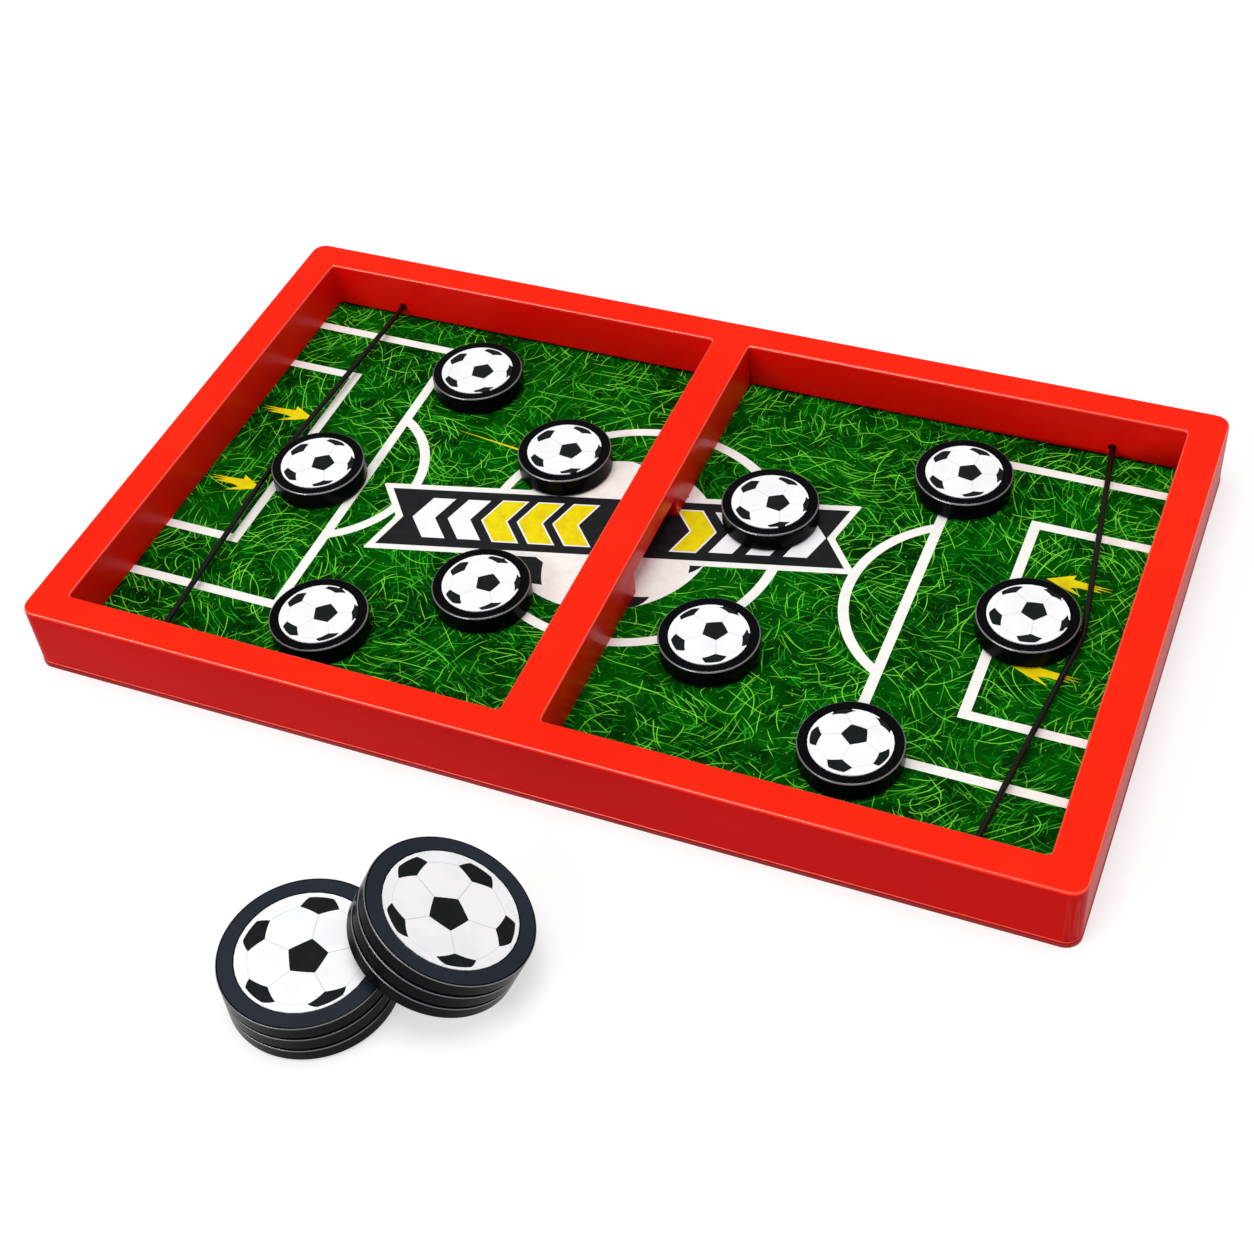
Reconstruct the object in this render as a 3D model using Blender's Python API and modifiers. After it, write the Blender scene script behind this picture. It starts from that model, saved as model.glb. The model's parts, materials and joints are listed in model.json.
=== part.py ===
"""Sling puck game: a two-sided table game board with elastic slings, pucks and loose discs.

Run with: blender --background --python part.py
Units are metres, +Z is up. The origin is the middle of the board's underside. X runs along
the board from one player's end to the other, and Y across it.
"""

import math

import bmesh
import bpy
from mathutils import Matrix, Vector

MM = 0.001

# Clearance between pieces that touch on the real object
GAP = 0.3 * MM

# Board
BOARD_LENGTH = 350 * MM
BOARD_WIDTH = 208.5 * MM
BOARD_HEIGHT = 25.5 * MM
CORNER_RADIUS = 5 * MM
END_RAIL = 12.5 * MM
SIDE_RAIL = 11.4 * MM
DIVIDER = 13.8 * MM
WALL = 2 * MM
TOP_EDGE_RADIUS = 1.4 * MM
INNER_CORNER_RADIUS = 1.2 * MM

# Base panel and the deck that it holds up
BASE_THICKNESS = 2.2 * MM
BASE_PROUD = 0.2 * MM
BASE_EDGE_RADIUS = 0.6 * MM
RIB_WIDTH = 1.6 * MM
RIB_ROWS = (-60 * MM, 0, 60 * MM)
RIB_COLUMNS = (-130 * MM, -65 * MM, 0, 65 * MM, 130 * MM)
DECK_BOTTOM = 5 * MM
DECK_THICKNESS = 2.3 * MM
DECK_LAP = 1.8 * MM
SHEET_THICKNESS = 0.4 * MM
SHEET_LAP = 1.5 * MM

# Gate through the divider
GATE_WIDTH = 38 * MM
GATE_HEIGHT = 9.2 * MM

# Base screws and the posts that they turn into
SCREW_HEAD_RADIUS = 2.7 * MM
SCREW_HEAD_HEIGHT = 1.4 * MM
SCREW_HEAD_RECESS = 0.2 * MM
SCREW_SHANK_RADIUS = 1.3 * MM
SCREW_LENGTH = 14 * MM
SCREW_TIP = 1.5 * MM
SCREW_SIDES = 12
COUNTERBORE_RADIUS = 3.1 * MM
SCREW_HOLE_RADIUS = 1.65 * MM
POST_RADIUS = 3.3 * MM
PAD_RADIUS = 3 * MM
SCREW_ROW = 98 * MM
SCREW_COLUMNS = (-167.7 * MM, -55 * MM, 55 * MM, 167.7 * MM)

# Pucks on the board
PUCK_RADIUS = 16.5 * MM
PUCK_THICKNESS = 7.5 * MM
PUCK_STEPS = 32
LEFT_PUCKS = (
    (-88 * MM, 62.1 * MM),
    (-39.9 * MM, 31.6 * MM),
    (-120.9 * MM, -0.9 * MM),
    (-40.1 * MM, -37.3 * MM),
    (-85.3 * MM, -66.8 * MM),
)
RIGHT_PUCKS = (
    (95 * MM, 61.9 * MM),
    (37.4 * MM, 28.2 * MM),
    (131.9 * MM, 3.8 * MM),
    (39.3 * MM, -35.7 * MM),
    (95.3 * MM, -63.9 * MM),
)
SLUNG_PUCK = 2

# Loose discs beside the board: three lie flat, and three lean on them
DISC_RADIUS = 25.5 * MM
DISC_THICKNESS = 5.3 * MM
DISC_PITCH = DISC_THICKNESS + GAP
DISCS_IN_STACK = 3
DISC_STEPS = 36
FLAT_STACK = (-25.5 * MM, -186 * MM)
LEAN_ANGLE = math.radians(27.5)
LEAN_HEADING = math.radians(29)

# Printed labels, which sit in a shallow recess in each puck and disc
LABEL_SHARE = 0.79
LABEL_THICKNESS = 0.4 * MM
LABEL_RECESS = LABEL_THICKNESS + GAP
LABEL_SIDES = 24

# Elastic cords
CORD_RADIUS = 1 * MM
CORD_RISE = 3.7 * MM
CORD_HOLE_RADIUS = 1.6 * MM
CORD_SPACING = 5 * MM
KNOT_RADIUS = 2.2 * MM
LEFT_CORD_COLUMN = -134.3 * MM
RIGHT_CORD_COLUMN = 138.6 * MM

# Heights worked out from the sizes above
FRAME_BOTTOM = BASE_THICKNESS + GAP
DECK_TOP = DECK_BOTTOM + DECK_THICKNESS
SHEET_BOTTOM = DECK_TOP + GAP
PLAY_FLOOR = SHEET_BOTTOM + SHEET_THICKNESS
WALL_BOTTOM = PLAY_FLOOR + GAP
CHANNEL_TOP = BOARD_HEIGHT - WALL
POST_BOTTOM = DECK_TOP + 2 * GAP
PUCK_BOTTOM = PLAY_FLOOR + GAP
CORD_LEVEL = PLAY_FLOOR + CORD_RISE
HALF_LENGTH = BOARD_LENGTH / 2
HALF_WIDTH = BOARD_WIDTH / 2
FIELD_X = HALF_LENGTH - END_RAIL
FIELD_Y = HALF_WIDTH - SIDE_RAIL
HALF_DIVIDER = DIVIDER / 2
KNOT_ROW = FIELD_Y + WALL + KNOT_RADIUS + GAP

# A cutter passes this far beyond the surface that it cuts
CUT_PAST = 1 * MM

MERGE = 0.00001

RED = (0.75, 0.02, 0.015, 1)
DARK_RED = (0.45, 0.015, 0.012, 1)
GREEN = (0.03, 0.2, 0.02, 1)
BOARD_BROWN = (0.33, 0.22, 0.13, 1)
BLACK = (0.012, 0.012, 0.014, 1)
WHITE = (0.85, 0.85, 0.86, 1)
STEEL = (0.55, 0.55, 0.57, 1)


def clear_scene():
    """Remove every object that the file opened with."""
    for thing in list(bpy.data.objects):
        bpy.data.objects.remove(thing, do_unlink=True)


def new_collection(name):
    """A collection linked to the scene."""
    group = bpy.data.collections.new(name)
    bpy.context.scene.collection.children.link(group)
    return group


def material(name, colour, roughness, metallic=0.0):
    """A Principled BSDF material of one colour."""
    finish = bpy.data.materials.new(name)
    finish.use_nodes = True
    shader = finish.node_tree.nodes["Principled BSDF"]
    shader.inputs["Base Color"].default_value = colour
    shader.inputs["Roughness"].default_value = roughness
    shader.inputs["Metallic"].default_value = metallic
    return finish


class Workshop:
    """Where the game's pieces and the cutters that shape them are kept."""

    def __init__(self):
        self.pieces = new_collection("sling_puck_game")
        self.cutters = new_collection("cutters")

    def piece(self, name, mesh, finish):
        """A finished piece of the game."""
        thing = bpy.data.objects.new(name, mesh)
        thing.data.materials.append(finish)
        self.pieces.objects.link(thing)
        return thing

    def cutter(self, name, mesh):
        """A shape that cuts or joins a piece and isn't part of the game."""
        thing = bpy.data.objects.new(name, mesh)
        thing.hide_render = True
        thing.display_type = "WIRE"
        self.cutters.objects.link(thing)
        return thing

    def empty(self, name, matrix):
        """A guide that pieces hang on."""
        guide = bpy.data.objects.new(name, None)
        guide.matrix_world = matrix
        self.pieces.objects.link(guide)
        return guide


def boolean(thing, other, operation="DIFFERENCE"):
    """Cut other out of thing, or join it on."""
    step = thing.modifiers.new(other.name, "BOOLEAN")
    step.operation = operation
    step.solver = "EXACT"
    step.object = other


def mesh_from(builder, name):
    """Turn a bmesh into a mesh with its faces pointing out."""
    bmesh.ops.recalc_face_normals(builder, faces=builder.faces)
    mesh = bpy.data.meshes.new(name)
    builder.to_mesh(mesh)
    builder.free()
    return mesh


def add_box(builder, low, high):
    """Add a box between two corners."""
    low, high = Vector(low), Vector(high)
    made = bmesh.ops.create_cube(builder, size=1)
    size = Matrix.Diagonal((*(high - low), 1))
    bmesh.ops.transform(
        builder,
        matrix=Matrix.Translation((low + high) / 2) @ size,
        verts=made["verts"],
    )
    return made["verts"]


def boxes(name, corners):
    """One mesh of separate boxes, each given by two corners."""
    builder = bmesh.new()
    for low, high in corners:
        add_box(builder, low, high)
    return mesh_from(builder, name)


def add_cylinder(builder, centre, radius, low, high, sides):
    """Add an upright cylinder."""
    made = bmesh.ops.create_cone(
        builder,
        cap_ends=True,
        segments=sides,
        radius1=radius,
        radius2=radius,
        depth=high - low,
    )
    place = Vector((centre[0], centre[1], (low + high) / 2))
    bmesh.ops.translate(builder, vec=place, verts=made["verts"])
    return made["verts"]


def cylinders(name, centres, radius, low, high, sides):
    """One mesh of separate upright cylinders."""
    builder = bmesh.new()
    for centre in centres:
        add_cylinder(builder, centre, radius, low, high, sides)
    return mesh_from(builder, name)


def bevel_edges(builder, edges, radius, segments):
    """Round the edges given."""
    bmesh.ops.bevel(
        builder,
        geom=list(edges),
        offset=radius,
        offset_type="OFFSET",
        segments=segments,
        profile=0.5,
        affect="EDGES",
        clamp_overlap=True,
        material=-1,
    )


def is_upright(edge):
    """Whether an edge runs straight up."""
    first, second = edge.verts
    return (first.co.xy - second.co.xy).length < MERGE


def rounded_plate(name, half_x, half_y, low, high, corner, segments, top_edge=0.0):
    """A plate with round corners and, if asked, a rounded top edge."""
    builder = bmesh.new()
    add_box(builder, (-half_x, -half_y, low), (half_x, half_y, high))
    if corner:
        uprights = [e for e in builder.edges if is_upright(e)]
        bevel_edges(builder, uprights, corner, segments)
    if top_edge:
        rim = [
            e
            for e in builder.edges
            if min(v.co.z for v in e.verts) > high - MERGE
        ]
        bevel_edges(builder, rim, top_edge, 2)
    return mesh_from(builder, name)


def shade(thing, angle=math.radians(35)):
    """Smooth the round surfaces and keep the hard edges."""
    thing.data.shade_smooth()
    thing.data.set_sharp_from_angle(angle=angle)


def screw_places():
    """The middles of the eight base screws."""
    return [(x, y) for y in (-SCREW_ROW, SCREW_ROW) for x in SCREW_COLUMNS]


def frame_blank():
    """The frame and its divider as one thick plate with two square openings."""
    columns = (-HALF_LENGTH, -FIELD_X, -HALF_DIVIDER, HALF_DIVIDER, FIELD_X, HALF_LENGTH)
    rows = (-HALF_WIDTH, -FIELD_Y, FIELD_Y, HALF_WIDTH)
    builder = bmesh.new()
    bmesh.ops.create_grid(
        builder, x_segments=len(columns) - 1, y_segments=len(rows) - 1, size=1
    )
    for vertex in builder.verts:
        column = round((vertex.co.x + 1) / 2 * (len(columns) - 1))
        row = round((vertex.co.y + 1) / 2 * (len(rows) - 1))
        vertex.co = (columns[column], rows[row], FRAME_BOTTOM)
    fields = []
    for face in builder.faces:
        middle = face.calc_center_median()
        if abs(middle.y) < FIELD_Y and HALF_DIVIDER < abs(middle.x) < FIELD_X:
            fields.append(face)
    bmesh.ops.delete(builder, geom=fields, context="FACES")
    grown = bmesh.ops.extrude_face_region(builder, geom=list(builder.faces))
    raised = [v for v in grown["geom"] if isinstance(v, bmesh.types.BMVert)]
    bmesh.ops.translate(
        builder, vec=(0, 0, BOARD_HEIGHT - FRAME_BOTTOM), verts=raised
    )
    bmesh.ops.recalc_face_normals(builder, faces=builder.faces)

    outer, inner = [], []
    for edge in builder.edges:
        if not is_upright(edge):
            continue
        x, y = (abs(value) for value in edge.verts[0].co.xy)
        if x > HALF_LENGTH - MERGE and y > HALF_WIDTH - MERGE:
            outer.append(edge)
        elif x < FIELD_X + MERGE and y < FIELD_Y + MERGE:
            inner.append(edge)
    bevel_edges(builder, outer, CORNER_RADIUS, 6)
    inner = [e for e in inner if e.is_valid]
    bevel_edges(builder, inner, INNER_CORNER_RADIUS, 2)

    rim = [
        e
        for e in builder.edges
        if min(v.co.z for v in e.verts) > BOARD_HEIGHT - MERGE
        and e.calc_face_angle(0) > math.radians(60)
    ]
    bevel_edges(builder, rim, TOP_EDGE_RADIUS, 3)
    return mesh_from(builder, "frame_blank")


def rail_channel_cutter():
    """The hollow inside the four rails."""
    outer_x, outer_y = HALF_LENGTH - WALL, HALF_WIDTH - WALL
    inner_x, inner_y = FIELD_X + WALL, FIELD_Y + WALL
    low, high = FRAME_BOTTOM - CUT_PAST, CHANNEL_TOP
    ring = bpy.data.curves.new("rail_channel_outline", "CURVE")
    ring.dimensions = "2D"
    ring.fill_mode = "BOTH"
    ring.extrude = (high - low) / 2
    corner = CORNER_RADIUS - WALL
    for half_x, half_y, radius in ((outer_x, outer_y, corner), (inner_x, inner_y, 0)):
        add_outline(ring, half_x, half_y, radius)
    guide = bpy.data.objects.new("rail_channel_guide", ring)
    bpy.context.scene.collection.objects.link(guide)
    guide.location.z = (low + high) / 2
    bpy.context.view_layer.update()
    mesh = mesh_from_curve(guide, "rail_channels")
    return mesh


def add_outline(curve, half_x, half_y, radius, segments=6):
    """Add a closed rectangle with round corners to a flat curve."""
    points = []
    for turn, (sx, sy) in enumerate(((1, 1), (-1, 1), (-1, -1), (1, -1))):
        if not radius:
            points.append((sx * half_x, sy * half_y))
            continue
        for step in range(segments + 1):
            angle = (turn + step / segments) * math.pi / 2
            x = sx * (half_x - radius) + radius * math.cos(angle)
            y = sy * (half_y - radius) + radius * math.sin(angle)
            points.append((x, y))
    spline = curve.splines.new("POLY")
    spline.points.add(len(points) - 1)
    for point, (x, y) in zip(spline.points, points):
        point.co = (x, y, 0, 1)
    spline.use_cyclic_u = True


def mesh_from_curve(guide, name):
    """A closed mesh of a curve object, in world space; the curve is removed."""
    graph = bpy.context.evaluated_depsgraph_get()
    mesh = bpy.data.meshes.new_from_object(guide.evaluated_get(graph))
    mesh.transform(guide.matrix_world)
    bpy.data.objects.remove(guide, do_unlink=True)
    builder = bmesh.new()
    builder.from_mesh(mesh)
    bmesh.ops.remove_doubles(builder, verts=builder.verts, dist=MERGE)
    return mesh_from(builder, name)


def make_frame(shop, finish):
    """The moulded frame: four hollow rails, the divider, its gate and the screw posts."""
    frame = shop.piece("playing_frame", frame_blank(), finish)

    recess = rounded_plate(
        "underside_recess",
        HALF_LENGTH - WALL,
        HALF_WIDTH - WALL,
        FRAME_BOTTOM - CUT_PAST,
        WALL_BOTTOM,
        CORNER_RADIUS - WALL,
        6,
    )
    boolean(frame, shop.cutter("underside_recess", recess))
    boolean(frame, shop.cutter("rail_channels", rail_channel_cutter()))

    low = WALL_BOTTOM - CUT_PAST
    half_channel = HALF_DIVIDER - WALL
    gate_cheek = GATE_WIDTH / 2 + WALL
    gate_top = PLAY_FLOOR + GATE_HEIGHT
    divider_channels = boxes(
        "divider_channels",
        [
            ((-half_channel, gate_cheek, low), (half_channel, FIELD_Y - WALL, CHANNEL_TOP)),
            ((-half_channel, WALL - FIELD_Y, low), (half_channel, -gate_cheek, CHANNEL_TOP)),
        ],
    )
    boolean(frame, shop.cutter("divider_channels", divider_channels))

    posts = cylinders(
        "screw_posts",
        screw_places(),
        POST_RADIUS,
        POST_BOTTOM,
        CHANNEL_TOP + WALL / 2,
        SCREW_SIDES,
    )
    boolean(frame, shop.cutter("screw_posts", posts), "UNION")
    pilots = cylinders(
        "pilot_holes",
        screw_places(),
        SCREW_HOLE_RADIUS,
        POST_BOTTOM - CUT_PAST,
        SCREW_HEAD_RECESS + SCREW_LENGTH + 3 * GAP,
        SCREW_SIDES,
    )
    boolean(frame, shop.cutter("pilot_holes", pilots))

    gate = boxes(
        "gate_opening",
        [
            (
                (-HALF_DIVIDER - CUT_PAST, -GATE_WIDTH / 2, low),
                (HALF_DIVIDER + CUT_PAST, GATE_WIDTH / 2, gate_top),
            )
        ],
    )
    boolean(frame, shop.cutter("gate_opening", gate))

    builder = bmesh.new()
    for column in (LEFT_CORD_COLUMN, RIGHT_CORD_COLUMN):
        for side in (-1, 1):
            verts = add_cylinder(
                builder, (0, 0), CORD_HOLE_RADIUS, -WALL, WALL, SCREW_SIDES
            )
            middle = Vector((column, side * (FIELD_Y + WALL / 2), CORD_LEVEL))
            turn = Matrix.Rotation(math.pi / 2, 4, "X")
            bmesh.ops.transform(
                builder, matrix=Matrix.Translation(middle) @ turn, verts=verts
            )
    holes = mesh_from(builder, "cord_holes")
    boolean(frame, shop.cutter("cord_holes", holes))
    shade(frame)


def make_base(shop, finish):
    """The base panel with its ribs, screw pads and counterbores."""
    plate = rounded_plate(
        "base_panel",
        HALF_LENGTH + BASE_PROUD,
        HALF_WIDTH + BASE_PROUD,
        0,
        BASE_THICKNESS,
        CORNER_RADIUS + BASE_PROUD,
        6,
        BASE_EDGE_RADIUS,
    )
    base = shop.piece("base_panel", plate, finish)
    low, high = BASE_THICKNESS / 2, DECK_BOTTOM - GAP
    half = RIB_WIDTH / 2
    reach_x, reach_y = FIELD_X, FIELD_Y
    rows = [((-reach_x, y - half, low), (reach_x, y + half, high)) for y in RIB_ROWS]
    boolean(base, shop.cutter("base_ribs_along", boxes("base_ribs_along", rows)), "UNION")
    columns = [((x - half, -reach_y, low), (x + half, reach_y, high)) for x in RIB_COLUMNS]
    across = boxes("base_ribs_across", columns)
    boolean(base, shop.cutter("base_ribs_across", across), "UNION")
    pads = cylinders(
        "screw_pads", screw_places(), PAD_RADIUS, low, DECK_TOP + GAP, SCREW_SIDES
    )
    boolean(base, shop.cutter("screw_pads", pads), "UNION")
    bores = cylinders(
        "counterbores",
        screw_places(),
        COUNTERBORE_RADIUS,
        -CUT_PAST,
        SCREW_HEAD_RECESS + SCREW_HEAD_HEIGHT + GAP,
        SCREW_SIDES,
    )
    boolean(base, shop.cutter("counterbores", bores))
    holes = cylinders(
        "base_screw_holes",
        screw_places(),
        SCREW_HOLE_RADIUS,
        0,
        DECK_TOP + CUT_PAST,
        SCREW_SIDES,
    )
    boolean(base, shop.cutter("base_screw_holes", holes))
    shade(base)


def make_deck(shop, board_finish, print_finish):
    """The deck that the pucks slide over, and the printed sheet on it."""
    reach_x, reach_y = FIELD_X + DECK_LAP, FIELD_Y + DECK_LAP
    deck = boxes(
        "play_deck",
        [((-reach_x, -reach_y, DECK_BOTTOM), (reach_x, reach_y, DECK_TOP))],
    )
    shop.piece("play_deck", deck, board_finish)
    reach_x, reach_y = FIELD_X + SHEET_LAP, FIELD_Y + SHEET_LAP
    sheet = boxes(
        "pitch_sheet",
        [((-reach_x, -reach_y, SHEET_BOTTOM), (reach_x, reach_y, PLAY_FLOOR))],
    )
    shop.piece("pitch_sheet", sheet, print_finish)


def turned(shop, name, profile, steps, finish):
    """A turned piece. The profile is (radius, height) points from the top to the bottom."""
    mesh = bpy.data.meshes.new(name)
    points = [(radius, 0, height) for radius, height in profile]
    edges = [(index, index + 1) for index in range(len(points) - 1)]
    mesh.from_pydata(points, edges, [])
    thing = shop.piece(name, mesh, finish)
    spin = thing.modifiers.new("turn", "SCREW")
    spin.axis = "Z"
    spin.steps = steps
    spin.render_steps = steps
    spin.use_merge_vertices = True
    spin.merge_threshold = MERGE
    spin.use_smooth_shade = True
    return thing


def puck_profile(radius, thickness):
    """A puck with a shallow recess for its label, a chamfered rim and a rounded foot."""
    recess = radius * LABEL_SHARE + GAP
    return (
        (0, thickness - LABEL_RECESS),
        (recess, thickness - LABEL_RECESS),
        (recess, thickness),
        (radius - 1.1 * MM, thickness),
        (radius - 0.25 * MM, thickness - 0.35 * MM),
        (radius, thickness - 1.1 * MM),
        (radius, 0.7 * MM),
        (radius - 0.7 * MM, 0),
        (0, 0),
    )


def make_puck(shop, side, number, centre, finishes):
    """One puck on the board and its label."""
    body = turned(
        shop,
        f"puck_{side}_{number}",
        puck_profile(PUCK_RADIUS, PUCK_THICKNESS),
        PUCK_STEPS,
        finishes["puck"],
    )
    body.location = (*centre, PUCK_BOTTOM)
    add_label(
        shop, f"puck_label_{side}_{number}", body, PUCK_RADIUS, PUCK_THICKNESS, finishes
    )


def add_label(shop, name, body, radius, thickness, finishes):
    """The printed label in the top of a puck or a disc."""
    mesh = cylinders(
        name,
        [(0, 0)],
        radius * LABEL_SHARE,
        thickness - LABEL_THICKNESS,
        thickness,
        LABEL_SIDES,
    )
    label = shop.piece(name, mesh, finishes["label"])
    label.parent = body


def make_disc(shop, stack, number, guide, finishes):
    """One loose disc of a stack and its label, counted from the bottom."""
    body = turned(
        shop,
        f"loose_disc_{stack}_{number}",
        puck_profile(DISC_RADIUS, DISC_THICKNESS),
        DISC_STEPS,
        finishes["puck"],
    )
    body.parent = guide
    body.location = (0, 0, (number - 1) * DISC_PITCH)
    add_label(
        shop,
        f"disc_label_{stack}_{number}",
        body,
        DISC_RADIUS,
        DISC_THICKNESS,
        finishes,
    )


def leaning_stack_matrix():
    """The place of the leaning stack: its low edge on the table, its underside on the other stack's rim."""
    prop = DISCS_IN_STACK * DISC_PITCH - GAP + GAP / math.cos(LEAN_ANGLE)
    reach = prop / math.tan(LEAN_ANGLE) + DISC_RADIUS * (1 - math.cos(LEAN_ANGLE))
    heading = Vector((math.cos(LEAN_HEADING), math.sin(LEAN_HEADING), 0))
    foot = Vector((*FLAT_STACK, 0)) + heading * reach
    foot.z = DISC_RADIUS * math.sin(LEAN_ANGLE)
    hinge = Vector((-heading.y, heading.x, 0))
    return Matrix.Translation(foot) @ Matrix.Rotation(LEAN_ANGLE, 4, hinge)


def make_stacks(shop, finishes):
    """The flat stack and the leaning stack of loose discs."""
    flat = shop.empty("flat_stack_guide", Matrix.Translation((*FLAT_STACK, 0)))
    leaning = shop.empty("leaning_stack_guide", leaning_stack_matrix())
    for number in range(1, DISCS_IN_STACK + 1):
        make_disc(shop, "flat", number, flat, finishes)
        make_disc(shop, "leaning", number, leaning, finishes)


def cord_route(column, puck, outward):
    """The middle line of an elastic cord, from one knot to the other, bent round its puck.

    outward is -1 where the cord passes the puck's left side and 1 where it passes the right.
    """
    wrap = PUCK_RADIUS + CORD_RADIUS + GAP
    route = []
    for side in (1, -1):
        hole = Vector((column, side * (FIELD_Y + WALL / 2)))
        across = hole - Vector(puck)
        # The tangent from the hole to the circle round the puck that the cord follows
        spread = math.acos(wrap / across.length)
        angle = math.atan2(across.y, across.x) - outward * side * spread
        route.append((hole, angle))
    (back_hole, back_angle), (front_hole, front_angle) = route
    if outward < 0:
        front_angle += 2 * math.pi
    knot = Vector((column, KNOT_ROW))
    points = [knot, Vector((column, FIELD_Y + WALL))]
    touch_back = Vector(puck) + wrap * Vector((math.cos(back_angle), math.sin(back_angle)))
    touch_front = Vector(puck) + wrap * Vector((math.cos(front_angle), math.sin(front_angle)))
    count = round((back_hole - touch_back).length / CORD_SPACING)
    points += [back_hole.lerp(touch_back, step / count) for step in range(count)]
    arc_steps = max(2, math.ceil(abs(front_angle - back_angle) * wrap / (CORD_SPACING / 2)))
    for step in range(arc_steps + 1):
        angle = back_angle + (front_angle - back_angle) * step / arc_steps
        points.append(Vector(puck) + wrap * Vector((math.cos(angle), math.sin(angle))))
    count = round((front_hole - touch_front).length / CORD_SPACING)
    points += [touch_front.lerp(front_hole, step / count) for step in range(1, count + 1)]
    points += [Vector((column, -FIELD_Y - WALL)), Vector((column, -KNOT_ROW))]
    return points


def make_cord(shop, side, column, puck, outward, finish):
    """One elastic cord, tied off with a knot behind each side rail's inner wall."""
    line = bpy.data.curves.new("cord_line", "CURVE")
    line.dimensions = "3D"
    line.bevel_depth = CORD_RADIUS
    line.bevel_resolution = 2
    line.use_fill_caps = True
    points = cord_route(column, puck, outward)
    spline = line.splines.new("POLY")
    spline.points.add(len(points) - 1)
    for point, place in zip(spline.points, points):
        point.co = (place.x, place.y, CORD_LEVEL, 1)
    guide = bpy.data.objects.new("cord_guide", line)
    bpy.context.scene.collection.objects.link(guide)
    bpy.context.view_layer.update()
    cord = shop.piece(f"sling_cord_{side}", mesh_from_curve(guide, "cord"), finish)

    builder = bmesh.new()
    for end in (-1, 1):
        made = bmesh.ops.create_uvsphere(
            builder, u_segments=10, v_segments=6, radius=KNOT_RADIUS
        )
        place = (column, end * KNOT_ROW, CORD_LEVEL)
        bmesh.ops.translate(builder, vec=place, verts=made["verts"])
    knots = mesh_from(builder, "cord_knots")
    boolean(cord, shop.cutter(f"cord_knots_{side}", knots), "UNION")
    shade(cord, math.radians(60))


def make_screws(shop, finish):
    """The self-tapping screws that hold the base panel to the frame."""
    head = SCREW_HEAD_RADIUS
    top = SCREW_LENGTH
    profile = (
        (0, top),
        (SCREW_SHANK_RADIUS, top - SCREW_TIP),
        (SCREW_SHANK_RADIUS, SCREW_HEAD_HEIGHT),
        (head, SCREW_HEAD_HEIGHT),
        (head, 0.5 * MM),
        (head - 0.6 * MM, 0),
        (0, 0),
    )
    for number, place in enumerate(screw_places(), 1):
        screw = turned(shop, f"base_screw_{number}", profile, SCREW_SIDES, finish)
        screw.location = (*place, SCREW_HEAD_RECESS)


def main():
    """Build the whole game."""
    clear_scene()
    shop = Workshop()
    finishes = {
        "frame": material("red_plastic", RED, 0.25),
        "base": material("base_plastic", DARK_RED, 0.4),
        "deck": material("deck_board", BOARD_BROWN, 0.8),
        "print": material("printed_sheet", GREEN, 0.5),
        "puck": material("black_plastic", BLACK, 0.25),
        "label": material("label_print", WHITE, 0.35),
        "cord": material("elastic_cord", BLACK, 0.7),
        "screw": material("screw_steel", STEEL, 0.35, 1.0),
    }
    make_frame(shop, finishes["frame"])
    make_base(shop, finishes["base"])
    make_deck(shop, finishes["deck"], finishes["print"])
    make_screws(shop, finishes["screw"])
    for side, places in (("left", LEFT_PUCKS), ("right", RIGHT_PUCKS)):
        for number, centre in enumerate(places, 1):
            make_puck(shop, side, number, centre, finishes)
    make_stacks(shop, finishes)
    left, right = LEFT_PUCKS[SLUNG_PUCK], RIGHT_PUCKS[SLUNG_PUCK]
    make_cord(shop, "left", LEFT_CORD_COLUMN, left, -1, finishes["cord"])
    make_cord(shop, "right", RIGHT_CORD_COLUMN, right, 1, finishes["cord"])


main()
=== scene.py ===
"""Looks of a sling puck game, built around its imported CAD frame.

A red board with two fields lies on a pale floor. Its printed pitch, the elastic slings, the ten
pucks and the six loose discs are dressed here. Sizes are in metres, and +Z is up.
"""

import json
import logging
import math
from dataclasses import dataclass
from enum import Enum
from typing import Optional, Union

import bmesh
import bpy
from mathutils import Matrix, Vector

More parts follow.
